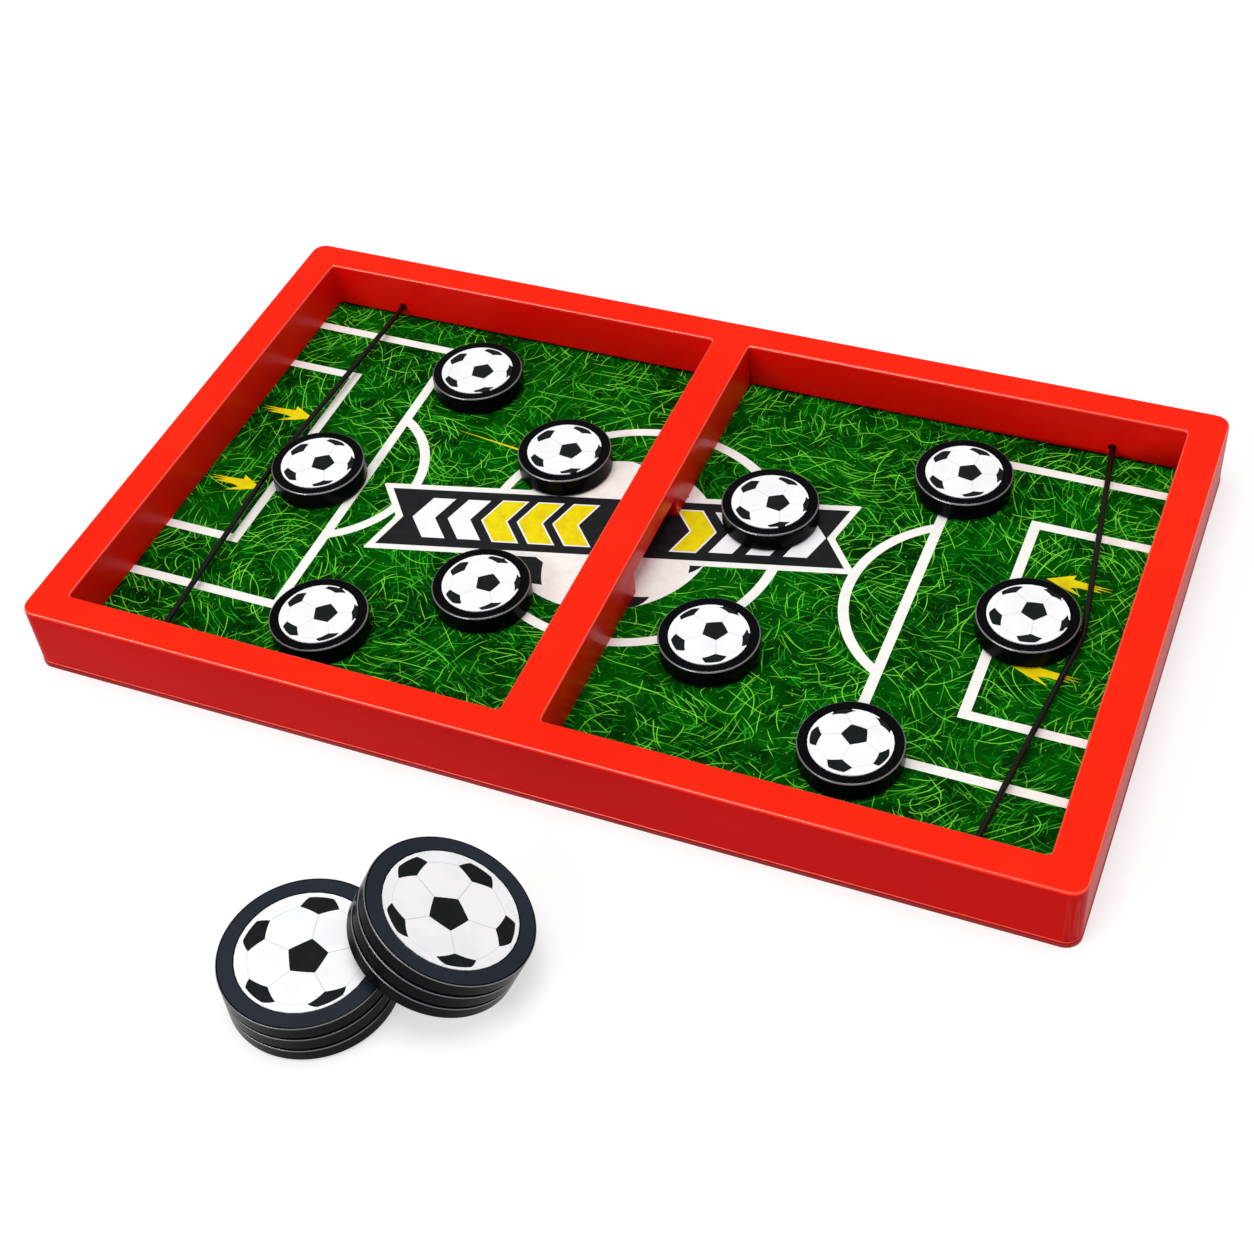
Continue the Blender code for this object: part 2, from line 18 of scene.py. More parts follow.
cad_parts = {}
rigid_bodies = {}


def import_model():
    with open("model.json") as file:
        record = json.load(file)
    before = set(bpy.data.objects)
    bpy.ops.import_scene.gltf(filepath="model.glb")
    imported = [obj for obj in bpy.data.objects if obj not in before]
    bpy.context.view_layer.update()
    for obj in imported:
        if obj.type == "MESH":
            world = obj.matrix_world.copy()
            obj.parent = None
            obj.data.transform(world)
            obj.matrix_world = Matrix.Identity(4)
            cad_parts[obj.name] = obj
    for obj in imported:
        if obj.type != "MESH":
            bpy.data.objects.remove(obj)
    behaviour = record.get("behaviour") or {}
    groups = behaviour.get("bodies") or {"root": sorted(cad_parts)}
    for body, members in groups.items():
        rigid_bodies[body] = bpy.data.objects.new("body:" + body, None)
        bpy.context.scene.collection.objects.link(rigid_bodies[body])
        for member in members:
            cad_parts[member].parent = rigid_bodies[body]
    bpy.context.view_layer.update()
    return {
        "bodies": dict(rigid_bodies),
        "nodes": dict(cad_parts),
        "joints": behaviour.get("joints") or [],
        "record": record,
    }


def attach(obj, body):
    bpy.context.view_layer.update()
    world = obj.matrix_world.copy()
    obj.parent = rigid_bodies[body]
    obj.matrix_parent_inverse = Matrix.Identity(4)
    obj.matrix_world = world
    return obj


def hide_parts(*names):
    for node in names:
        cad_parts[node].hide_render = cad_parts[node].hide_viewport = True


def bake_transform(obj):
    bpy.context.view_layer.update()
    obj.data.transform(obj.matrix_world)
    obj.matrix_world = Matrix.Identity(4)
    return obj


Colour = tuple[float, float, float, float]
Shade = tuple[int, int, int]
Pair = tuple[float, float]
Triple = tuple[float, float, float]
Socket = bpy.types.NodeSocket
Value = Union[Socket, float, tuple]
Mesh = bpy.types.Mesh
Piece = bpy.types.Object
Material = bpy.types.Material
Builder = bmesh.types.BMesh
Vertex = bmesh.types.BMVert
Face = bmesh.types.BMFace

MM = 0.001
MERGE = 0.00001
FULL_TURN = 2 * math.pi
UP = Vector((0, 0, 1))
STILL = Matrix.Identity(4)
BOARD = "board"

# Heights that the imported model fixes
PLAY_FLOOR = 8 * MM
PUCK_BOTTOM = 8.3 * MM
CORD_LEVEL = 11.7 * MM

# The paper under every print: its grain's size in millimetres, and its relief
PAPER_GRAIN = 0.25
PAPER_RELIEF = 0.0015 * MM

log = logging.getLogger("sling_puck_game")


def screen(shade: Shade) -> Colour:
    """Turn a colour as a screen shows it, 0 to 255, into linear light."""
    shares = (part / 255 for part in shade)
    return (*(s / 12.92 if s < 0.04045 else ((s + 0.055) / 1.055) ** 2.4 for s in shares), 1.0)


class Slot(Enum):
    """The record's material slots, passed to new pieces but not given to them."""

    FRAME = "frame_plastic"
    BASE = "base_plastic"
    PRINT = "pitch_print"
    PUCK = "puck_plastic"
    LABEL = "label_print"
    CORD = "elastic_cord"
    SCREW = "screw_steel"


class Side(Enum):
    """The two halves of the board."""

    LEFT = "left"
    RIGHT = "right"

    @property
    def outward(self) -> int:
        """Which way along X the half's own end lies."""
        return -1 if self is Side.LEFT else 1


class Stack(Enum):
    """The two stacks of loose discs."""

    FLAT = "flat"
    LEANING = "leaning"


class Wiring:
    """The node tree of one material, and short ways to add nodes to it."""

    def __init__(self, name: str) -> None:
        """Start a material with a plain Principled shader.

        Args:
            name: The material's name.
        """
        self.material = bpy.data.materials.new(name)
        self.material.use_nodes = True
        self.tree = self.material.node_tree
        self.shader = next(n for n in self.tree.nodes if n.type == "BSDF_PRINCIPLED")

    def feed(self, socket: Socket, value: Optional[Value]) -> None:
        """Link an input, or give it a fixed value.

        Args:
            socket: The input.
            value: An output to link, a fixed value, or None to leave the input as it is.
        """
        if isinstance(value, Socket):
            self.tree.links.new(value, socket)
        elif value is not None:
            socket.default_value = value

    def node(self, kind: str, inputs: dict, **settings: Union[str, bool]) -> bpy.types.NodeOutputs:
        """Add a shader node.

        Args:
            kind: The node's type, without its ShaderNode prefix.
            inputs: What to feed to each input, by name or index.
            settings: The node's own properties.

        Returns:
            The new node's outputs.
        """
        made = self.tree.nodes.new(f"ShaderNode{kind}")
        for name, value in settings.items():
            setattr(made, name, value)
        for key, value in inputs.items():
            self.feed(made.inputs[key], value)
        return made.outputs

    def maths(self, operation: str, *values: Value, clamp: bool = False) -> Socket:
        """Work out a number from others, kept from 0 to 1 if clamp is set."""
        return self.node("Math", dict(enumerate(values)), operation=operation, use_clamp=clamp)[0]

    def vector(self, operation: str, first: Value, second: Value) -> Socket:
        """Work out a vector from two others."""
        return self.node("VectorMath", {0: first, 1: second}, operation=operation)[0]

    def millimetres(self) -> Socket:
        """The place on the piece, in millimetres."""
        return self.vector("MULTIPLY", self.node("TexCoord", {})["Object"], (1 / MM,) * 3)

    def noise(self, where: Socket, size: float, detail: float = 2, bend: float = 0) -> Socket:
        """Cloudy noise about 0.5, with clouds of a size in millimetres."""
        inputs = {"Vector": where, "Scale": 1 / size, "Detail": detail, "Distortion": bend}
        return self.node("TexNoise", inputs)[0]

    def cells(self, where: Socket, scale: float) -> tuple:
        """The outputs of random flat cells, and three chances for each cell."""
        made = self.node("TexVoronoi", {"Vector": where, "Scale": scale}, voronoi_dimensions="2D")
        return made, self.node("SeparateColor", {"Color": made["Color"]})

    def spread(self, value: Socket, low: float, high: float, start: Value = 0, end: Value = 1) -> Socket:
        """Map the range from low to high smoothly to the one from start to end."""
        inputs = {0: value, 1: low, 2: high, 3: start, 4: end}
        return self.node("MapRange", inputs, interpolation_type="SMOOTHSTEP")[0]

    def mix(self, share: Value, low: Union[Socket, Shade], high: Union[Socket, Shade]) -> Socket:
        """Mix two colours, each an output or a shade, by the second one's share."""
        ends = [end if isinstance(end, Socket) else screen(end) for end in (low, high)]
        return self.node("Mix", {0: share, 6: ends[0], 7: ends[1]}, data_type="RGBA")[2]

    def bump(self, height: Socket, depth: float, under: Optional[Socket] = None) -> Socket:
        """Turn a height from 0 to 1 into a relief as deep as depth, on top of another."""
        inputs = {"Height": height, "Distance": depth, "Strength": 1.0, "Normal": under}
        return self.node("Bump", inputs)[0]

    def finish(self, **inputs: Value) -> Material:
        """Feed the shader.

        Args:
            inputs: Its inputs, with underscores for spaces.

        Returns:
            The material.
        """
        for name, value in inputs.items():
            self.feed(self.shader.inputs[name.replace("_", " ")], value)
        return self.material

    def printed(self, colour: Socket, where: Socket, smooth: float, rough: float,
                shine: float) -> Material:
        """Finish the material as print on fine paper.

        Args:
            colour: Its colour.
            where: The place in millimetres.
            smooth: Its least roughness.
            rough: Its greatest roughness.
            shine: Its specular level.

        Returns:
            The material.
        """
        grain = self.noise(where, PAPER_GRAIN)
        return self.finish(
            Base_Color=colour,
            Roughness=self.spread(grain, 0.2, 0.8, smooth, rough),
            Specular_IOR_Level=shine,
            Normal=self.bump(grain, PAPER_RELIEF),
        )


@dataclass(frozen=True)
class MouldedPlastic:
    """Glossy moulded plastic with a faint ripple and cloudy gloss.

    The sizes of its clouds and its grain are in millimetres.
    """

    name: str
    colour: Shade
    deep: Shade
    roughness: float
    shine: float
    coat: float = 0.0
    ripple: float = 0.002 * MM
    grain: float = 0.0006 * MM
    grain_size: float = 0.35
    tint_size: float = 38
    ripple_size: float = 14
    gloss_size: float = 9
    coat_roughness: float = 0.06

    def material(self) -> Material:
        """The plastic's material."""
        wiring = Wiring(self.name)
        where = wiring.millimetres()
        tint = wiring.spread(wiring.noise(where, self.tint_size, 3), 0.3, 0.7)
        smooth, rough = self.roughness - 0.015, self.roughness + 0.02
        gloss = wiring.noise(where, self.gloss_size, 4)
        ripple = wiring.bump(wiring.noise(where, self.ripple_size, 1), self.ripple)
        return wiring.finish(
            Base_Color=wiring.mix(tint, self.colour, self.deep),
            Roughness=wiring.spread(gloss, 0.3, 0.7, smooth, rough),
            Normal=wiring.bump(wiring.noise(where, self.grain_size), self.grain, ripple),
            Specular_IOR_Level=self.shine,
            Coat_Weight=self.coat,
            Coat_Roughness=self.coat_roughness,
        )


@dataclass(frozen=True)
class PrintedInk:
    """Flat printed colour with a faint mottle, whose size is in millimetres."""

    name: str
    colour: Shade
    mottle: Shade
    roughness: float = 0.42
    size: float = 4.0
    sway: float = 0.05
    shine: float = 0.12

    def material(self) -> Material:
        """The ink's material."""
        wiring = Wiring(self.name)
        where = wiring.millimetres()
        share = wiring.spread(wiring.noise(where, self.size, 4), 0.35, 0.75)
        colour = wiring.mix(share, self.colour, self.mottle)
        smooth, rough = self.roughness - self.sway, self.roughness + self.sway
        return wiring.printed(colour, where, smooth, rough, self.shine)


@dataclass(frozen=True)
class Blades:
    """One layer of printed grass blades. Its sizes are in millimetres."""

    spacing: float
    length: float
    width: float
    bend: float
    colour: Shade
    strength: float
    shift: Pair
    fan: tuple[float, ...] = (0.0, 0.7)


@dataclass(frozen=True)
class Strands:
    """One layer of long thin strands in loose bundles. Its sizes are in millimetres."""

    size: float
    bands: float
    width: float
    length: float
    colour: Shade
    strength: float
    shift: Pair


class GrassPrint(Wiring):
    """A printed lawn: dark green with thin bright blades and long curved strands, and a painted shadow
    at the back wall's foot.
    """

    dark: Shade = (0, 36, 1)
    green: Shade = (0, 78, 2)
    shade: Shade = (6, 112, 8)
    soft: Shade = (40, 172, 32)
    bright: Shade = (126, 236, 58)
    speck: Shade = (120, 205, 60)
    wiggle: float = 1.5
    edge: float = 0.12
    slope_step: float = 0.2
    strand_step: float = 97.0
    least_slope: float = 0.0004
    # Painted shadow at the back wall's foot: the wall's row, the shadow's width and its colour.
    back_row: float = 92.85
    wall_shadow_width: float = 1.7
    black: Shade = (0, 0, 0)
    reach: float = 0.72
    dimmest: float = 0.25
    speck_cells: float = 0.3
    speck_strength: float = 0.75
    roughness: Pair = (0.52, 0.62)
    shine: float = 0.02

    def made(self) -> Material:
        """The lawn's material."""
        where = self.millimetres()
        patches = self.spread(self.noise(where, 17, 5, 0.6), 0.34, 0.66)
        self.colour = self.mix(patches, self.dark, self.green)
        self.paint(self.spread(self.noise(where, 1.3, 3, 1.2), 0.42, 0.72, 0, 0.5), self.green)
        drift = self.node("TexNoise", {"Vector": where, "Scale": 0.16, "Detail": 1.5})["Color"]
        drift = self.vector("SUBTRACT", drift, (0.5,) * 3)
        drift = self.vector("MULTIPLY", drift, (self.wiggle * 2,) * 3)
        bent = self.vector("ADD", where, drift)
        self.blades(bent, Blades(6.5, 8, 0.9, 0.06, self.shade, 0.6, (3.1, 71.7)))
        self.blades(bent, Blades(5.1, 6, 0.6, 0.08, self.shade, 0.65, (57.3, 12.9), (0.0, 2.4)))
        self.blades(bent, Blades(7.9, 10, 0.36, 0.05, self.soft, 0.85, (11.5, 35.2), (0.0, 0.4)))
        self.blades(bent, Blades(12.4, 13, 0.36, 0.03, self.bright, 0.85, (29.9, 91.1), (0.0, 2.1)))
        self.strands(where, Strands(44, 42, 0.3, 13, self.soft, 0.75, (412.7, 95.3)))
        self.strands(where, Strands(40, 34, 0.3, 15, self.soft, 0.9, (121.9, 433.1)))
        self.strands(where, Strands(48, 36, 0.3, 14, self.bright, 0.65, (733.2, 218.6)))
        self.strands(where, Strands(34, 22, 0.28, 13, self.bright, 0.9, (52.4, 861.7)))
        self.strands(where, Strands(54, 30, 0.3, 16, self.bright, 0.85, (951.3, 640.2)))
        self.specks(bent)
        # Painted shadow: the lawn darkens towards the back wall's foot.
        row = self.node("SeparateXYZ", {0: where})[1]
        self.paint(self.spread(row, self.back_row - self.wall_shadow_width, self.back_row, 0, 0.85), self.black)
        return self.printed(self.colour, where, *self.roughness, self.shine)

    def paint(self, cover: Value, ink: Shade) -> None:
        """Lay an ink over the colour so far."""
        self.colour = self.mix(cover, self.colour, ink)

    def stroke(self, width: Socket, off: Socket) -> Socket:
        """A soft-edged stroke's cover, off millimetres from its middle line."""
        inside = self.maths("SUBTRACT", width, off)
        return self.maths("MULTIPLY_ADD", inside, 1 / self.edge, 0.5, clamp=True)

    def blades(self, where: Socket, layer: Blades) -> None:
        """Paint a layer of blades, a small fan of them in each cell.

        Args:
            where: The place in millimetres.
            layer: The layer.
        """
        maths, half, widest = self.maths, layer.length / 2, layer.width / 2
        place = self.vector("ADD", where, (*layer.shift, 0))
        cells, chance = self.cells(place, 1 / layer.spacing)
        offset = self.vector("SUBTRACT", place, cells["Position"])
        bend = maths("MULTIPLY_ADD", chance[1], 2 * layer.bend, -layer.bend)
        dim = self.dimmest * layer.strength
        shine = maths("MULTIPLY_ADD", chance[2], layer.strength - dim, dim)
        cover: Value = 0.0
        for turn in layer.fan:
            inputs = {"Vector": offset, "Angle": maths("MULTIPLY_ADD", chance[0], FULL_TURN, turn)}
            spun = self.node("VectorRotate", inputs, rotation_type="Z_AXIS")[0]
            along, across, _ = self.node("SeparateXYZ", {0: spun})
            reach = maths("MULTIPLY_ADD", along, 1 / half, -self.reach)
            width = maths("MULTIPLY_ADD", maths("MULTIPLY", reach, reach), -widest, widest)
            curve = maths("MULTIPLY", maths("MULTIPLY", along, along), bend)
            off = maths("ABSOLUTE", maths("SUBTRACT", across, curve))
            cover = maths("MAXIMUM", cover, self.stroke(width, off))
        self.paint(maths("MULTIPLY", cover, shine), layer.colour)

    def strands(self, where: Socket, layer: Strands) -> None:
        """Paint a layer of strands, which follow the contours of a cloudy field.

        Args:
            where: The place in millimetres.
            layer: The layer.
        """
        maths, place = self.maths, self.vector("ADD", where, (*layer.shift, 0))
        cloud = self.noise(place, layer.size, 0)
        steps = []
        for side in ((self.slope_step, 0, 0), (0, self.slope_step, 0)):
            beside = self.noise(self.vector("ADD", place, side), layer.size, 0)
            steps.append(maths("SUBTRACT", beside, cloud))
        square = maths("MULTIPLY", steps[0], steps[0])
        rise = maths("SQRT", maths("MULTIPLY_ADD", steps[1], steps[1], square))
        rise = maths("MAXIMUM", rise, self.least_slope)
        level = maths("MULTIPLY", cloud, layer.bands)
        off = maths("ABSOLUTE", maths("SUBTRACT", maths("FRACT", level), 0.5))
        off = maths("MULTIPLY", maths("DIVIDE", off, rise), self.slope_step / layer.bands)
        own = maths("MULTIPLY", maths("FLOOR", level), self.strand_step)
        own = self.node("CombineXYZ", {2: own})[0]
        chance = self.noise(self.vector("ADD", place, own), layer.length, 1)
        width = self.spread(chance, 0.5, 0.63, -self.edge, layer.width / 2)
        self.paint(maths("MULTIPLY", self.stroke(width, off), layer.strength), layer.colour)

    def specks(self, where: Socket) -> None:
        """Paint small bright dots.

        Args:
            where: The place in millimetres.
        """
        cells, chance = self.cells(where, self.speck_cells)
        size = self.maths("MULTIPLY_ADD", chance[0], 0.14, -0.04)
        inside = self.maths("SUBTRACT", size, cells["Distance"])
        mark = self.maths("MULTIPLY", inside, 30, clamp=True)
        self.paint(self.maths("MULTIPLY", mark, self.speck_strength), self.speck)


@dataclass(frozen=True)
class WovenElastic:
    """Black woven elastic, its grooves darker as painted shade. The weave follows the cord's own UV map.
    """

    thread: Shade = (7, 7, 8)
    # The grooves' colour, darker than the threads as painted shade.
    gap: Shade = (1, 1, 2)
    turns: float = 8
    pitch: float = 1.1

    def material(self) -> Material:
        """The elastic's material."""
        wiring = Wiring("woven_elastic")
        maths, flat = wiring.maths, wiring.node("UVMap", {}, uv_map="weave")[0]
        around, along, _ = wiring.node("SeparateXYZ", {0: flat})
        around = maths("MULTIPLY", around, self.turns * math.pi)
        along = maths("MULTIPLY", along, FULL_TURN / self.pitch)
        left, right = (maths("SINE", maths(way, along, around)) for way in ("ADD", "SUBTRACT"))
        height = maths("MULTIPLY_ADD", maths("MULTIPLY", left, right), 0.5, 0.5, clamp=True)
        return wiring.finish(
            Base_Color=wiring.mix(height, self.gap, self.thread),
            Roughness=wiring.spread(height, 0, 1, 0.4, 0.28),
            Specular_IOR_Level=0.3,
            Normal=wiring.bump(height, 0.03 * MM),
        )


@dataclass(frozen=True)
class PressedBoard:
    """Brown pressed fibre board."""

    light: Shade = (146, 116, 82)
    dark: Shade = (98, 72, 48)

    def material(self) -> Material:
        """The board's material."""
        wiring = Wiring("pressed_board")
        where = wiring.vector("MULTIPLY", wiring.millimetres(), (1, 3, 3))
        fibres = wiring.noise(where, 1.4, 5, 0.8)
        return wiring.finish(
            Base_Color=wiring.mix(wiring.spread(fibres, 0.3, 0.7), self.dark, self.light),
            Roughness=0.85,
            Normal=wiring.bump(fibres, 0.03 * MM),
        )


@dataclass(frozen=True)
class ZincSteel:
    """Bright zinc-plated steel with a brushed grain."""

    bright: Shade = (214, 216, 220)
    dull: Shade = (172, 174, 180)

    def material(self) -> Material:
        """The steel's material."""
        wiring = Wiring("zinc_steel")
        where = wiring.vector("MULTIPLY", wiring.millimetres(), (1, 1, 6))
        brushed = wiring.noise(where, 0.5, 3)
        return wiring.finish(
            Base_Color=wiring.mix(brushed, self.bright, self.dull),
            Metallic=1.0,
            Roughness=wiring.spread(brushed, 0.2, 0.8, 0.25, 0.42),
            Normal=wiring.bump(brushed, 0.004 * MM),
        )


class Palette:
    """Every finish of the game, made once."""

    def __init__(self) -> None:
        """Mix every finish."""
        fine = {"grain": 0.0005 * MM, "grain_size": 0.3}
        coarse = {"ripple": 0.004 * MM, "grain": 0.006 * MM, "grain_size": 0.6}
        faint = {"ripple": 0.001 * MM, "grain": 0.0002 * MM}
        mirror = {"coat": 0.5, "ripple": 0.0, "grain": 0.0}
        plastic, ink = MouldedPlastic, PrintedInk
        self.red = plastic("red_plastic", (252, 41, 18), (249, 36, 16), 0.3, 0.03).material()
        # Outer sides of the frame: the red darkened as painted shade.
        self.side_red_painted_shade = plastic("side_red_painted_shade", (194, 12, 8), (189, 11, 7), 0.32, 0.02).material()
        # Inner walls: a glossier copy of the red, made a purer, deeper red as painted shade.
        self.wall_red_glossy_painted_shade = plastic("wall_red_glossy_painted_shade", (252, 14, 6), (248, 12, 5), 0.34, 0.14).material()
        # Rounded top edges of the frame and base panel: glossy, with a pale pink colour that is a
        # painted highlight.
        self.edge_red_painted_highlight = plastic(
            "edge_red_painted_highlight", (255, 84, 60), (253, 79, 56), 0.23, 1.0, **faint
        ).material()
        # Base panel: the red darkened as painted shade at the board's foot.
        self.base = plastic(
            "base_red_painted_shade", (160, 12, 9), (148, 10, 8), 0.34, 0.05, **coarse
        ).material()
        self.black = plastic("black_plastic", (6, 6, 9), (9, 9, 12), 0.24, 0.04, **fine).material()
        # Loose discs' flat tops: black with a bluish tint that is a painted reflection of the sky.
        self.top_black_sky_reflection = plastic("black_painted_sky_reflection", (28, 34, 43), (34, 41, 51), 0.3, 0.2, **fine).material()
        # Rounded top edges of the pucks and discs: glossy, with a light grey colour that is a painted
        # highlight.
        self.edge_black_highlight = plastic(
            "edge_black_painted_highlight", (108, 108, 112), (118, 118, 122), 0.16, 1.0, **mirror
        ).material()
        self.chalk = ink("chalk_white", (250, 248, 244), (240, 237, 231)).material()
        self.ink_black = ink("ink_black", (24, 25, 27), (32, 33, 35)).material()
        self.ink_yellow = ink("ink_yellow", (240, 222, 4), (226, 200, 6)).material()
        self.seam = ink("seam_grey", (222, 223, 227), (212, 213, 218)).material()
        self.label_white = ink("label_white", (249, 249, 252), (240, 241, 246), 0.3, 9.0).material()
        self.label_black = ink("label_black", (18, 22, 25), (25, 28, 32), 0.3).material()
        self.lawn = GrassPrint("printed_lawn").made()
        self.elastic = WovenElastic().material()
        self.fibre = PressedBoard().material()
        self.zinc = ZincSteel().material()


def put_in_scene(name: str, data: bpy.types.ID) -> Piece:
    """Make an object of some data and put it into the scene.

    Args:
        name: The object's name.
        data: Its mesh, lamp or camera.

    Returns:
        The object.
    """
    thing = bpy.data.objects.new(name, data)
    bpy.context.scene.collection.objects.link(thing)
    return thing


def new_piece(mesh: Mesh, body: Optional[str], slot: Slot, *finishes: Material, node: str = "") -> Piece:
    """Put a finished mesh into the scene, under its own name.

    Args:
        mesh: The mesh, in place.
        body: The CAD body that it rides on, or None if it is tied to one later.
        slot: The record's slot for it; not used.
        finishes: Its materials.
        node: The CAD node that it stands for, if any.

    Returns:
        The piece.
    """
    for finish in finishes:
        mesh.materials.append(finish)
    thing = put_in_scene(mesh.name, mesh)
    if body is not None:
        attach(thing, body)
    if node:
        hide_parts(node)
    log.info("%s: %d faces", thing.name, len(mesh.polygons))
    return thing


def finished_mesh(builder: Builder, name: str, place: Matrix = STILL, sharp: float = 35.0) -> Mesh:
    """Turn a bmesh into a mesh whose faces point out, smooth but for its sharp edges.

    Args:
        builder: The bmesh, which is freed.
        name: The mesh's name.
        place: Where the mesh goes.
        sharp: The angle in degrees past which an edge stays sharp.

    Returns:
        The mesh.
    """
    bmesh.ops.recalc_face_normals(builder, faces=builder.faces)
    mesh = bpy.data.meshes.new(name)
    builder.to_mesh(mesh)
    builder.free()
    mesh.shade_smooth()
    mesh.set_sharp_from_angle(angle=math.radians(sharp))
    mesh.transform(place)
    return mesh


def even_shading(thing: Piece) -> None:
    """Keep a piece's flat faces flat next to its rounded edges."""
    thing.modifiers.new("even_shading", "WEIGHTED_NORMAL").keep_sharp = True


def bevel(builder: Builder, parts: list, size: float, segments: int,
          affect: str = "EDGES", **settings: Union[str, bool]) -> None:
    """Round edges, or cut or round corners.

    Args:
        builder: The bmesh.
        parts: The edges or vertices.
        size: How far the bevel reaches.
        segments: How many steps it has.
        affect: EDGES or VERTICES.
        settings: What else the bevel is told.
    """
    bmesh.ops.bevel(
        builder, geom=parts, offset=size, segments=segments, profile=0.5, affect=affect,
        material=-1, **settings,
    )


def paint_edge_highlights(builder: Builder, flattest: float, inner: float = 0.0, steepest: float = 0.5) -> None:
    """Give the rounded top edges the second finish, a painted highlight.

    Args:
        builder: The shape, with its faces pointing out.
        flattest: The greatest upward part of their normals.
        inner: The distance from the Z axis that they lie beyond.
        steepest: The least upward part of their normals.
    """
    builder.normal_update()
    for face in builder.faces:
        if steepest < face.normal.z < flattest and face.calc_center_median().xy.length > inner:
            face.material_index = 1


def only(parts: list, kind: type) -> list:
    """The parts of one kind, such as the vertices among what an extrusion made."""
    return [part for part in parts if isinstance(part, kind)]


def open_edges(builder: Builder) -> list:
    """The edges that have a face on one side alone."""
    return [edge for edge in builder.edges if edge.is_boundary]


def thicken(builder: Builder, height: float) -> None:
    """Give flat faces a thickness upwards."""
    grown = bmesh.ops.extrude_face_region(builder, geom=list(builder.faces))["geom"]
    bmesh.ops.translate(builder, vec=UP * height, verts=only(grown, Vertex))


def cut_off(builder: Builder, place: Triple, normal: Triple, **drop: bool) -> None:
    """Cut a shape along a plane and drop its inner or outer side."""
    parts = [*builder.verts, *builder.edges, *builder.faces]
    bmesh.ops.bisect_plane(builder, geom=parts, plane_co=place, plane_no=normal, **drop)


def inset(builder: Builder, width: float) -> list:
    """Give a flat shape a border of its own, and say which faces it has."""
    faces, even = list(builder.faces), {"use_boundary": True, "use_even_offset": True}
    return bmesh.ops.inset_region(builder, faces=faces, thickness=width, **even)["faces"]


def flat_face(builder: Builder, corners: list[Pair]) -> None:
    """Add a flat face with these corners to a shape."""
    builder.faces.new([builder.verts.new((x, y, 0)) for x, y in corners]).normal_update()


def heading(degrees: float) -> Vector:
    """A level direction, turned from +X by an angle in degrees."""
    angle = math.radians(degrees)
    return Vector((math.cos(angle), math.sin(angle), 0))


def turned(profile: list[Pair], steps: int, middle: Pair = (0, 0)) -> Builder:
    """Turn a profile round an upright axis.

    Args:
        profile: Its (radius, height) points.
        steps: How many steps the turn has.
        middle: Where the axis stands.

    Returns:
        The turned shape.
    """
    builder = bmesh.new()
    x, y = middle
    verts = [builder.verts.new((x + radius, y, height)) for radius, height in profile]
    edges = [builder.edges.new(pair) for pair in zip(verts, verts[1:])]
    bmesh.ops.spin(
        builder, geom=verts + edges, cent=(x, y, 0), axis=UP, dvec=(0, 0, 0), angle=FULL_TURN,
        steps=steps, use_merge=True, use_normal_flip=False, use_duplicate=False,
    )
    bmesh.ops.remove_doubles(builder, verts=builder.verts, dist=MERGE / 10)
    bmesh.ops.recalc_face_normals(builder, faces=builder.faces)
    return builder


